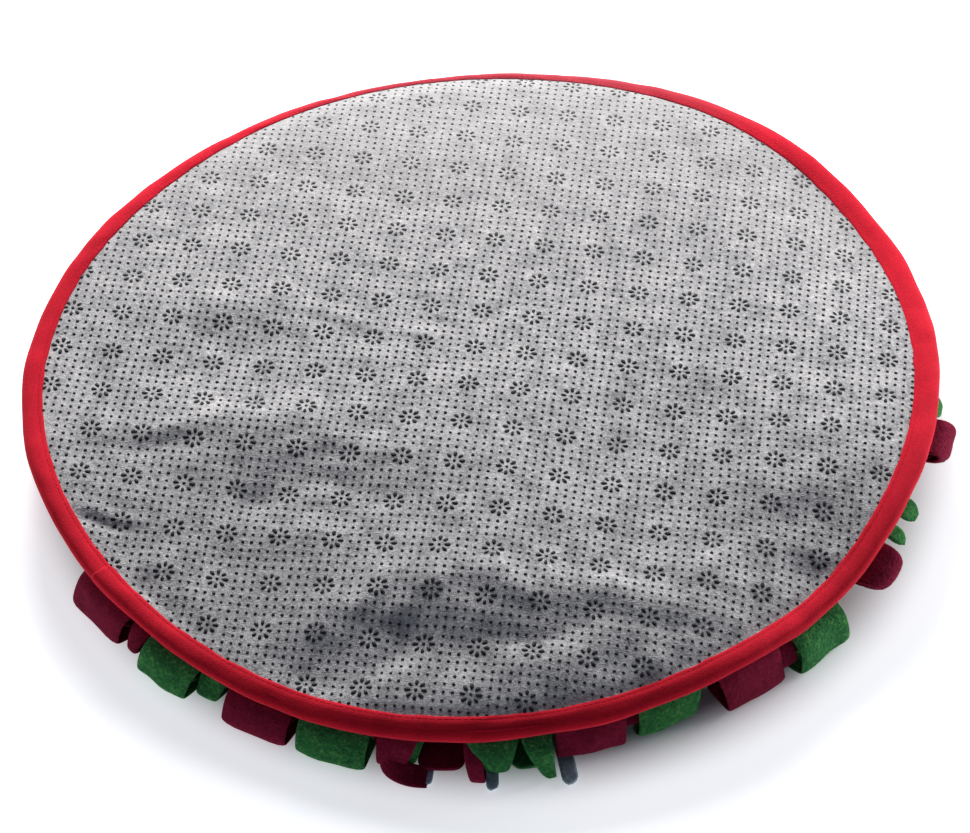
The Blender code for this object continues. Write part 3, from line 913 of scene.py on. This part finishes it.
# %% [markdown]
# ## Strips of fleece
#
# Each strip is a ribbon of fleece that starts at its row's tape under the felt and runs out to the
# edge.  Most then fold down to the floor and back in.  At the right end some are rolled up clear of
# the floor, a few narrow ones lie flat like tongues, and one lies twisted along the edge.  Thick
# boxes bent along a path would look like foam, and cloth let fall by a simulation would not stop
# where these strips did.  So a ribbon's middle line is a smooth curve inside the corner points that
# the CAD model has, worked out again for each of its lines from side to side, and the ribbon tilts
# with the mat's edge.  The sides are rounded like cut fleece, and slow noise keeps any two strips
# from lying alike.

# %% Rows and strips
FLEECE_THICKNESS = 2.2
ROW_TAPE_WIDTH, ROW_TAPE_GAP = 6.0, 1.0
ROOT_SHARE = 0.66         # of its width, to which a strip is gathered where it is sewn on
FOOT_LENGTH, SHORT_FOOT = 15.0, 3.0       # how far a strip lies on the floor, and one that hangs over it
ROOT_DEPTH = FELT_THICKNESS / 2 + ROW_TAPE_GAP + FLEECE_THICKNESS / 2
RUN_DEPTH, RUN_START, RUN_END = 6.8, 5.0, 8.0      # a strip's run under the felt, out to the edge
LAYER = 3.8               # the strips of the rows further in run this much lower

EDGE_BULGE = [
    # name, in from the furthest point, share of the drop, height over lying flat
    ("shoulder", 5.0, 0.82, 0.0),
    ("side", 1.8, 0.50, 0.0),
    ("furthest point", 0.0, 0.0, 2.4),
    ("fold", 2.0, 0.0, 0.0),
]
TUCK = [
    # name, in from the furthest point past a long foot, past a short one, share of the drop
    ("turned up", 19.0, 8.0, 0.12),
    ("leaning out", 11.0, 7.5, 0.36),
    ("behind the face", 5.5, 5.5, 0.60),
    ("its end", 5.8, 6.0, 0.78),
]
ROLLED_LINE = [
    # name, in from the furthest point, share of the drop
    ("shoulder", 4.2, 1.0),
    ("furthest point", -0.8, 0.62),
    ("fold", 0.8, 0.0),
    ("back", 11.0, 0.0),
    ("turn", 13.5, 0.18),
    ("turned up", 11.0, 0.32),
    ("inner layer", 6.0, 0.36),
    ("its end", 3.4, 0.40),
]
DRAWN_UP, DRAWN_IN = 8.0, 5.0      # at the near side of a rolled strip
TONGUE_LINE = [
    # name, out from its root, share of the drop, height over lying flat
    ("root", 0.0, 1.0, 0.0),
    ("turn", 3.5, 1.0, -3.0),
    ("slack", 4.5, 0.45, 0.0),
    ("knee", 6.5, 0.0, 3.0),
    ("foot", 10.0, 0.0, 0.0),
]
HIGH_TONGUE, TONGUE_DROOP = 10.0, 6.5      # tongues higher than this over the floor droop at the end
HIDDEN_LINE = [
    # name, out from its root, towards its own side, share of the drop, height over lying flat
    ("root", 0.0, 0.0, 1.0, 0.0),
    ("turn", 3.5, 0.0, 1.0, -3.0),
    ("belly", 5.5, 0.0, 0.62, 0.0),
    ("slack", 3.5, 0.0, 0.30, 0.0),
    ("knee", 3.0, 0.5, 0.0, 3.0),
    ("foot", 3.0, 3.5, 0.0, 0.0),
    ("end", 3.0, 3.5 + FOOT_LENGTH, 0.0, 0.0),
]
EDGE_TAPES = [
    # name, inset from the mat's edge, strip width
    ("red_edge", 18.0, 34.0),
    ("green_edge", 30.0, 34.0),
    ("red_under", 42.0, 28.0),
    ("green_under", 54.0, 28.0),
    ("pale_under", 70.0, 24.0),
]
FRONT_STRIPS = [
    # tape, how it lies, bearing, width, width at the lower end, reach past the edge, height of the fold, lean
    ("red_edge", "folded", 216.6, 36, 35, 5, 0, -1),
    ("red_edge", "folded", 241.3, 34, 34, 6, 0, 1),
    ("red_edge", "folded", 259.0, 20, 13, 3, 2, -2),
    ("red_edge", "folded", 282.9, 35, 33, 1, 3, 0),
    ("red_edge", "folded", 305.3, 36, 34, 3, 0, 2),
    ("red_edge", "rolled", 328.0, 24, 24, 9, 15, -2),
    ("red_edge", "rolled", 349.6, 24, 24, 9, 18, 0),
    ("green_edge", "folded", 228.7, 31, 29, 7, 0, -1),
    ("green_edge", "folded", 251.1, 35, 34, 7, 0, 1),
    ("green_edge", "folded", 270.5, 25, 5, 5, 3, 5),
    ("green_edge", "folded", 275.9, 14, 4, 9, 0, 7),
    ("green_edge", "folded", 294.0, 34, 30, -1, 4, -4),
    ("green_edge", "folded", 316.6, 33, 33, 7, 0, -1),
    ("green_edge", "flat", 334.8, 9, 9, 3.4, 21, 0),
    ("green_edge", "flat", 338.9, 15, 13, 3.0, 23, 0),
    ("green_edge", "flat", 356.8, 18, 15, 2.2, 24, 0),
    ("red_under", "folded", 222.9, 12, 4, 3, 3, 0),
    ("red_under", "flat", 264.4, 24, 22, 3, 3, 0),
    ("red_under", "folded", 288.6, 12, 12, -6, 6, 0),
    ("red_under", "folded", 311.4, 12, 12, 0, 3, 0),
    ("green_under", "folded", 234.2, 15, 11, 0, 0, -1),
    ("green_under", "flat", 275.2, 20, 18, 3, 3, 0),
    ("pale_under", "flat", 263.0, 16, 5, 10, 0, 0),
    ("pale_under", "flat", 270.6, 16, 6, 12, 0, 0),
    ("pale_under", "flat", 279.7, 16, 8, 13, 0, 0),
]
SMALL_ENDS = [
    # the same columns, for the ends of narrow strips that the CAD model leaves to the cloth
    ("red_under", "folded", 268.2, 9, 7, 8, 0, 3),
    ("green_under", "folded", 261.0, 9, 4, 0, 1, -1),
    ("green_under", "folded", 270.8, 13, 8, 3, 2, 0),
]
ROW_SPACING = 22.5
HIDDEN_STRIPS = [
    # tape, first bearing, count
    ("red_edge", 14.0, 9),
    ("green_edge", 25.25, 9),
    ("red_under", 329.0, 11),
    ("green_under", 295.25, 13),
    ("pale_under", 306.5, 14),
]
INNER_STRIP_WIDTH = 32.0
INNER_ROWS = [
    # name, colour, radius, count
    ("red_inner", "red", 106.0, 15),
    ("green_inner", "green", 79.0, 11),
    ("pale_inner", "pale", 53.0, 8),
    ("red_middle", "red", 26.0, 4),
]
hidden_count = sum(row[-1] for row in HIDDEN_STRIPS + INNER_ROWS)
print(len(FRONT_STRIPS) + len(SMALL_ENDS), "strips in view and", hidden_count, "out of sight")


# %% Middle lines
DROOP_INSET = 1.0    # a high tongue starts to droop this far inside the mat's edge


def floor_level(foot):
    """Height of the middle of a strip that lies this far over the floor."""
    return foot + FLEECE_THICKNESS / 2


def below_felt(inwards, depth, bearing):
    """Radius and height of a point under the felt, this far in from the mat's edge."""
    radius = edge_radius(bearing) - inwards
    return radius, felt_middle(radius, bearing) - depth


def folded_line(bearing, inset, reach, foot, layer):
    edge, low, run = edge_radius(bearing), floor_level(foot), RUN_DEPTH + layer
    drop = below_felt(0.0, run, bearing)[1] - low
    run_end = max(RUN_END - reach, RUN_END)
    line = [below_felt(inset, ROOT_DEPTH, bearing)]
    line += [below_felt(inwards, run, bearing) for inwards in (inset - RUN_START, run_end)]
    line += [(edge + reach - inwards, low + share * drop + rise) for _, inwards, share, rise in EDGE_BULGE]
    line.append((line[-1][0] - (SHORT_FOOT if foot else FOOT_LENGTH), low))
    return line + [(edge + reach - (near if foot else far), low + share * drop) for _, far, near, share in TUCK]


def rolled_line(bearing, inset, reach, foot, middle, width):
    """A strip rolled up on itself under the mat's edge.  Its near side is drawn up and in."""
    near_side = min((bearing - middle) / degrees(width / 2 / MEAN_RADIUS), 0.0) ** 2
    edge, low = edge_radius(bearing), floor_level(foot) + DRAWN_UP * near_side
    furthest = edge + reach - DRAWN_IN * near_side
    line = [below_felt(inset, ROOT_DEPTH, bearing)]
    line += [below_felt(inwards, RUN_DEPTH, bearing) for inwards in (inset - RUN_START, RUN_END)]
    drop = line[-1][1] - low
    return line + [(furthest - inwards, low + share * drop) for _, inwards, share in ROLLED_LINE]


def drop_to_floor(root_radius, bearing):
    return felt_middle(root_radius, bearing) - ROOT_DEPTH - floor_level(0)


def tongue_line(bearing, inset, reach, foot):
    """A narrow strip that lies flat, on the floor or on the strips there."""
    edge = edge_radius(bearing)
    root, low = edge - inset, floor_level(foot)
    drop = drop_to_floor(root, bearing) - foot
    line = [(root + out, low + share * drop + rise) for _, out, share, rise in TONGUE_LINE]
    if foot > HIGH_TONGUE:
        line.append((edge - DROOP_INSET, low))
        low -= TONGUE_DROOP
    return line + [(edge + reach, low)]


def hidden_line(bearing, outer_side, side):
    """A plain strip that hangs out of sight.  side is 1 if it lies outwards, -1 if inwards."""
    root, low = outer_side(bearing), floor_level(0)
    drop = drop_to_floor(root, bearing)
    return [
        (root + out + side * towards, low + share * drop + rise)
        for _, out, towards, share, rise in HIDDEN_LINE
    ]


def soft_curve(corners, done):
    """A smooth curve that stays inside its corner points: a quadratic B-spline, clamped."""
    corners = np.asarray(corners, dtype=float)
    middles = (corners[1:-2] + corners[2:-1]) / 2
    ends = np.concatenate([corners[:1], middles, corners[-1:]])
    along = done * (len(ends) - 1 - 1e-9)
    piece, share = along.astype(int), (along % 1)[:, None]
    first, bend, last = ends[piece], corners[piece + 1], ends[piece + 1]
    return (1 - share) ** 2 * first + 2 * share * (1 - share) * bend + share ** 2 * last


print("a strip's middle at the front edge:", len(folded_line(270.0, 18.0, 5.0, 0.0, 0.0)), "corner points")


# %% A ribbon of fleece
RIBBON_ROWS = 48
SIDE_TO_SIDE = np.array([-1.0, -0.985, -0.93, -0.8, -0.55, -0.28, 0.0, 0.28, 0.55, 0.8, 0.93, 0.985, 1.0])
END_CORNER = 5.0          # radius at the corners of a flat strip's end
SIDE_SQUARENESS, END_SQUARENESS = 9, 60   # the higher, the squarer the cut edge
CUP_DEPTH, CUP_SEED = 0.9, 1.3            # from side to side
WAVE_PITCH, WAVE_HEIGHT = 15.0, 1.6       # along and across
# The rest are shares of a strip's length or of its width.
GATHERED_OVER = 0.16
NARROWS_FROM, NARROWS_OVER = 0.20, 0.30   # where it takes the width and the lean of its lower end
TONGUE_NARROWS_OVER = 0.8                 # and where a flat one does
TUCK_FROM, TUCK_OVER, TUCK_WIDER, TUCK_PINCHED = 0.66, 0.24, 0.6, 0.12      # the end that is turned in
WAVY_OVER = 0.3                           # cup and waves grow from nothing at its root
CALM_FROM, CALM_OVER, CALM_BY = 0.7, 0.2, 0.65      # and calm down towards its end


def ribbon_sheet(line_at, bearing, width, tip, lean, lies, seed):
    """Middle of a ribbon as rows of points, from its root to its end and from side to side."""
    turn = radians(bearing)
    outward, sideways = np.array([cos(turn), sin(turn)]), np.array([-sin(turn), cos(turn)])
    done = np.linspace(0, 1, RIBBON_ROWS)
    narrowed = np.clip((done - NARROWS_FROM) / NARROWS_OVER, 0, 1)
    if lies == "flat":
        done = np.sin(done * pi / 2)
        narrowed = smooth_step(done / TONGUE_NARROWS_OVER)
    tucked = np.clip((done - TUCK_FROM) / TUCK_OVER, 0, 1) * (lies == "folded")
    narrowed = narrowed - TUCK_WIDER * tucked
    gathered = ROOT_SHARE + (1 - ROOT_SHARE) * smooth_step(done / GATHERED_OVER)
    half = (width + (tip - width) * narrowed) / 2 * gathered * (1 - TUCK_PINCHED * smooth_step(4 * tucked))
    if lies == "flat":
        line = soft_curve(line_at(bearing), done)
        to_end = np.abs(line[:, 0] - line[-1, 0])
        corner = min(half[-1], END_CORNER)
        half = half - corner + np.sqrt(np.clip(corner ** 2 - np.maximum(corner - to_end, 0) ** 2, 0.01, None))
    sheet = np.empty((RIBBON_ROWS, len(SIDE_TO_SIDE), 3))
    for k, share in enumerate(SIDE_TO_SIDE):
        line = soft_curve(line_at(bearing + share * degrees(width / 2 / MEAN_RADIUS)), done)
        off = share * half + lean * narrowed
        out = np.sqrt(np.maximum(line[:, 0] ** 2 - (share * half) ** 2, 1.0))
        sheet[:, k, :2] = out[:, None] * outward + off[:, None] * sideways
        sheet[:, k, 2] = line[:, 1]
    wavy = smooth_step(done / WAVY_OVER) * (1 - CALM_BY * smooth_step((done - CALM_FROM) / CALM_OVER))
    cup = CUP_DEPTH * noise.noise(Vector((seed, CUP_SEED, 0.0))) * SIDE_TO_SIDE ** 2
    waves = unevenness(sheet.reshape(-1, 3), WAVE_PITCH, WAVE_HEIGHT, seed).reshape(sheet.shape[:2])
    sheet += normals_of(sheet) * ((cup + waves) * wavy[:, None])[:, :, None]
    sheet[:, :, 2] = np.maximum(sheet[:, :, 2], floor_level(0))
    return sheet


def normals_of(sheet):
    along, across = np.gradient(sheet, axis=0), np.gradient(sheet, axis=1)
    normal = np.cross(along, across)
    return normal / np.maximum(np.linalg.norm(normal, axis=-1, keepdims=True), 1e-9)


def ribbon_shell(sheet):
    """Closed cloth about a sheet's middle: two faces that meet in rounded cut edges."""
    rows, columns = sheet.shape[:2]
    side = np.sqrt(1 - np.abs(SIDE_TO_SIDE) ** SIDE_SQUARENESS)
    end = np.sqrt(1 - np.linspace(0, 1, rows) ** END_SQUARENESS)
    half = FLEECE_THICKNESS / 2 * side * end[:, None]
    away = normals_of(sheet) * half[:, :, None]
    points, number = [], np.empty((2, rows, columns), dtype=int)
    for layer, face in enumerate((sheet + away, sheet - away)):
        for i in range(rows):
            for k in range(columns):
                if layer and half[i, k] < 1e-6:
                    number[1, i, k] = number[0, i, k]
                    continue
                number[layer, i, k] = len(points)
                points.append(face[i, k])
    upper, lower = number
    faces = []
    for i in range(rows - 1):
        for k in range(columns - 1):
            corners = [(i, k), (i, k + 1), (i + 1, k + 1), (i + 1, k)]
            faces += [[upper[spot] for spot in reversed(corners)], [lower[spot] for spot in corners]]
    root = [*upper[0], *lower[0, -2:0:-1]]
    faces.append([spot for i, spot in enumerate(root) if spot != root[i - 1]])
    return np.array(points), faces


def area_of(sheet):
    one, two = sheet[1:, 1:] - sheet[:-1, :-1], sheet[1:, :-1] - sheet[:-1, 1:]
    return float(np.linalg.norm(np.cross(one, two), axis=-1).sum() / 2)


# %% The twisted strip
UP = np.array([0.0, 0.0, 1.0])
TWISTED_STRIP = [
    # bearing, past the edge, height, width, tilt of its width from level
    (255.0, -22.0, 14.0, 18, 0),
    (256.2, -12.0, 11.0, 16, 30),
    (257.0, -3.0, 9.0, 13, 75),
    (257.8, 3.6, 6.0, 11, 55),
    (259.6, 6.0, 4.0, 11, 28),
    (261.6, 6.6, 2.6, 12, 8),
    (263.1, 6.4, 1.6, 11, 2),
]


def twisted_sheet():
    """Middle of the one strip that lies along the edge, twisted, instead of square to it."""
    places = soft_curve(TWISTED_STRIP, np.linspace(0, 1, RIBBON_ROWS))
    bearing, out, height, width, tilt = places.T[:, :, None]
    tilt = np.radians(tilt)
    outward = np.stack([*around(1.0, bearing[:, 0]), 0 * bearing[:, 0]], axis=-1)
    middle = (edge_radius(bearing) + out) * outward + height * UP
    across = np.cos(tilt) * outward - np.sin(tilt) * UP
    sheet = middle[:, None, :] + (width / 2 * SIDE_TO_SIDE)[:, :, None] * across[:, None, :]
    sheet[:, :, 2] = np.maximum(sheet[:, :, 2], floor_level(0))
    return sheet


print("%.0f square millimetres of fleece in the twisted strip" % area_of(twisted_sheet()))

# %% The narrow tape of a row
ROW_TAPE_BEARINGS = np.arange(0.0, 360.0, 3.0)
ROW_TAPE_EASE = 0.4       # it stops this far short of its place at either side
ROW_TAPE_SECTION = [
    # share of its width in from its outer side, height over its upper face in thicknesses
    (0.0, -0.3), (0.25, 0.0), (0.75, 0.0), (1.0, -0.3), (1.0, -0.7), (0.75, -1.0), (0.25, -1.0), (0.0, -0.7),
]


def row_tape(outer_side):
    """A flat band under the felt that the row's strips are sewn to."""
    outer, width = outer_side(ROW_TAPE_BEARINGS) - ROW_TAPE_EASE, ROW_TAPE_WIDTH - 2 * ROW_TAPE_EASE
    top = -FELT_THICKNESS / 2 - ROW_TAPE_GAP
    rings = []
    for share, level in ROW_TAPE_SECTION:
        radius = outer - share * width
        height = felt_middle(radius, ROW_TAPE_BEARINGS) + top + level * FLEECE_THICKNESS
        rings.append(np.stack([*around(radius, ROW_TAPE_BEARINGS), height], axis=-1))
    faces = ring_faces(len(rings), len(ROW_TAPE_BEARINGS), closed=True)
    return np.concatenate(rings), [face[::-1] for face in faces]


def edge_tape_side(bearing, inset):
    return edge_radius(bearing) - inset


def inner_tape_side(bearing, radius):
    return radius + 0 * bearing


print(len(row_tape(partial(inner_tape_side, radius=100.0))[1]), "faces on a row's tape")


# %% Every row
FIRST_SEED, SEED_STEP = 7.0, 3.7


def build_row(name, colour, outer_side, strips):
    sheets = [ribbon_sheet(*strip, seed=FIRST_SEED + SEED_STEP * i) for i, strip in enumerate(strips)]
    if name == "red_edge":
        sheets.append(twisted_sheet())
    points, faces = row_tape(outer_side)
    groups, start = [points], len(points)
    for sheet in sheets:
        points, shell = ribbon_shell(sheet)
        faces += [[spot + start for spot in face] for face in shell]
        groups.append(points)
        start += len(points)
    points = in_frame(*np.concatenate(groups).T)
    piece = ready(new_piece(f"{name}_fleece", points, faces, FLEECES[colour]))
    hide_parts(f"{name}_strips")
    area = sum(area_of(sheet) for sheet in sheets) * MM ** 2
    round_it = 2 * pi * float(np.mean(outer_side(np.arange(360.0))))
    band = round_it * (ROW_TAPE_WIDTH + FLEECE_THICKNESS) * MM ** 2
    width = sum(strip[2] for strip in strips) * MM
    (area + band) / width
    return piece


def build_edge_rows():
    rows = []
    for tape, inset, hidden_width in EDGE_TAPES:
        outer_side = partial(edge_tape_side, inset=inset)
        layer = LAYER if tape.endswith("under") else 0.0
        strips = []
        for strip_tape, lies, bearing, width, tip, reach, foot, lean in FRONT_STRIPS + SMALL_ENDS:
            given = {"inset": inset, "reach": reach, "foot": foot}
            line_at = {
                "folded": partial(folded_line, layer=layer, **given),
                "rolled": partial(rolled_line, middle=bearing, width=width, **given),
                "flat": partial(tongue_line, **given),
            }[lies]
            if strip_tape == tape:
                strips.append((line_at, bearing, width, tip, lean, lies))
        line_at = partial(hidden_line, outer_side=outer_side, side=-1)
        for strip_tape, first, count in HIDDEN_STRIPS:
            for i in range(count if strip_tape == tape else 0):
                bearing = first + i * ROW_SPACING
                strips.append((line_at, bearing, hidden_width, hidden_width, 0, "hidden"))
        rows.append(build_row(tape, tape.split("_")[0], outer_side, strips))
    return rows


def build_inner_rows():
    rows = []
    for name, colour, radius, count in INNER_ROWS:
        outer_side = partial(inner_tape_side, radius=radius)
        line_at = partial(hidden_line, outer_side=outer_side, side=1)
        bearings = [360 * (i + 0.5) / count for i in range(count)]
        strips = [(line_at, bearing, INNER_STRIP_WIDTH, INNER_STRIP_WIDTH, 0, "hidden") for bearing in bearings]
        rows.append(build_row(name, colour, outer_side, strips))
    return rows


rows = build_edge_rows() + build_inner_rows()

# %% [markdown]
# ## The felt disc's size
#
# The felt was cut as a disc, the binding from a long tape, and each row of strips from one piece of
# fleece.  Here the felt disc's area and its width across are worked out.

# %% Sheets
disc = edge_radius(np.arange(0.0, 360.0)) - FELT_EDGE_INSET
disc_area, disc_size = float(np.mean(disc ** 2)) * pi * MM ** 2, 2 * float(disc.max()) * MM

# %% [markdown]
# ## Stage, light and camera
#
# The mat lies on a plain pale floor, which glows a little round it so that shadows stay pale.  One
# soft light stands behind the mat and rather low.  It leaves the cloth light where it faces away
# from the viewer and shaded where it droops towards them, as in the photograph.  Two small lights
# low down at the sides reach the strips, and a weak one in front opens the shadows.  The camera
# looks down at about 48 degrees with a long lens.

# %% Floor
FLOOR_HALF = 30.0
FLOOR_GREYS = (0.86, 0.86, 0.865), (0.90, 0.90, 0.905)
FLOOR_GLOW, GLOW_COLOUR = 0.70, (0.95, 0.97, 1.0)
GLOW_FROM, GLOW_TO = 0.205, 0.242         # from the middle, in metres: none before, all of it past


def make_floor():
    """A pale floor, lit softly from within as a light table is, but not under the mat."""
    material, tree, shader = new_finish("pale_floor", 0.9)
    place = tree.place()
    away = tree.node("ShaderNodeVectorMath", {"operation": "LENGTH"}, {0: place}, "Value")
    limits = {"Value": away, "From Min": GLOW_FROM, "From Max": GLOW_TO}
    glow = tree.node("ShaderNodeMapRange", {"interpolation_type": "SMOOTHSTEP"}, limits)
    tree.feed(shader.inputs["Base Color"], tree.mix(tree.noise(place, 3.0), *FLOOR_GREYS))
    tree.feed(shader.inputs["Emission Color"], tree.mix(glow, (0.0, 0.0, 0.0), GLOW_COLOUR))
    shader.inputs["Emission Strength"].default_value = FLOOR_GLOW
    corners = [(x * FLOOR_HALF, y * FLOOR_HALF, 0.0) for x, y in ((-1, -1), (1, -1), (1, 1), (-1, 1))]
    floor = new_piece("floor", corners, [(0, 1, 2, 3)], material)
    print("finish:", material.name)


make_floor()

# %% Lights
LIGHTS = [
    # name, place, what it points at, size, power, colour
    ("key", (-0.17, 1.06, 0.62), (0.0, 0.03, 0.02), 0.54, 27.6, (1.0, 0.985, 0.965)),
    ("fill", (-0.2, -1.2, 1.9), (0.0, 0.0, 0.02), 1.6, 0.4, (0.8, 0.9, 1.0)),
    ("right side", (0.9, 0.28, 0.20), (0.2, -0.05, 0.02), 0.4, 7.0, (1.0, 0.99, 0.98)),
    ("left side", (-0.9, -0.2, 0.13), (-0.2, -0.1, 0.02), 0.4, 0.8, (1.0, 0.99, 0.98)),
]
SKY_COLOUR, SKY_STRENGTH = (0.60, 0.72, 1.0, 1.0), 0.09

for name, place, target, size, power, colour in LIGHTS:
    lamp = bpy.data.lights.new(name, "AREA")
    lamp.size, lamp.energy, lamp.color = size, power, colour
    light = new_object(name, lamp)
    light.location = place
    light.rotation_euler = (Vector(target) - Vector(place)).to_track_quat("-Z", "Y").to_euler()
world = bpy.data.worlds.new("studio")
world.use_nodes = True
sky = world.node_tree.nodes["Background"].inputs
sky["Color"].default_value, sky["Strength"].default_value = SKY_COLOUR, SKY_STRENGTH
bpy.context.scene.world = world
bpy.context.scene.view_settings.view_transform = "Standard"
print(len(LIGHTS), "lights and a dim sky")

# %% Camera
CAMERA_PLACE = (-0.02205 + CUT_MIDDLE[0] * MM, -1.08777 + CUT_MIDDLE[1] * MM, 1.25669)
CAMERA_RIGHT = (0.99986, 0.0, 0.016703)
CAMERA_UP = (-0.010912, 0.757101, 0.653206)
CAMERA_AHEAD = (0.012646, 0.653298, -0.756996)
LENS, SENSOR = 120.607, 36.0      # millimetres

lens = bpy.data.cameras.new("camera")
lens.lens, lens.sensor_width = LENS, SENSOR
camera = new_object("camera", lens)
turn = Matrix((CAMERA_RIGHT, CAMERA_UP, -Vector(CAMERA_AHEAD))).transposed()
camera.matrix_world = Matrix.Translation(CAMERA_PLACE) @ turn.to_4x4()
bpy.context.scene.camera = camera
print("camera %.2f m from the mat" % camera.location.length)
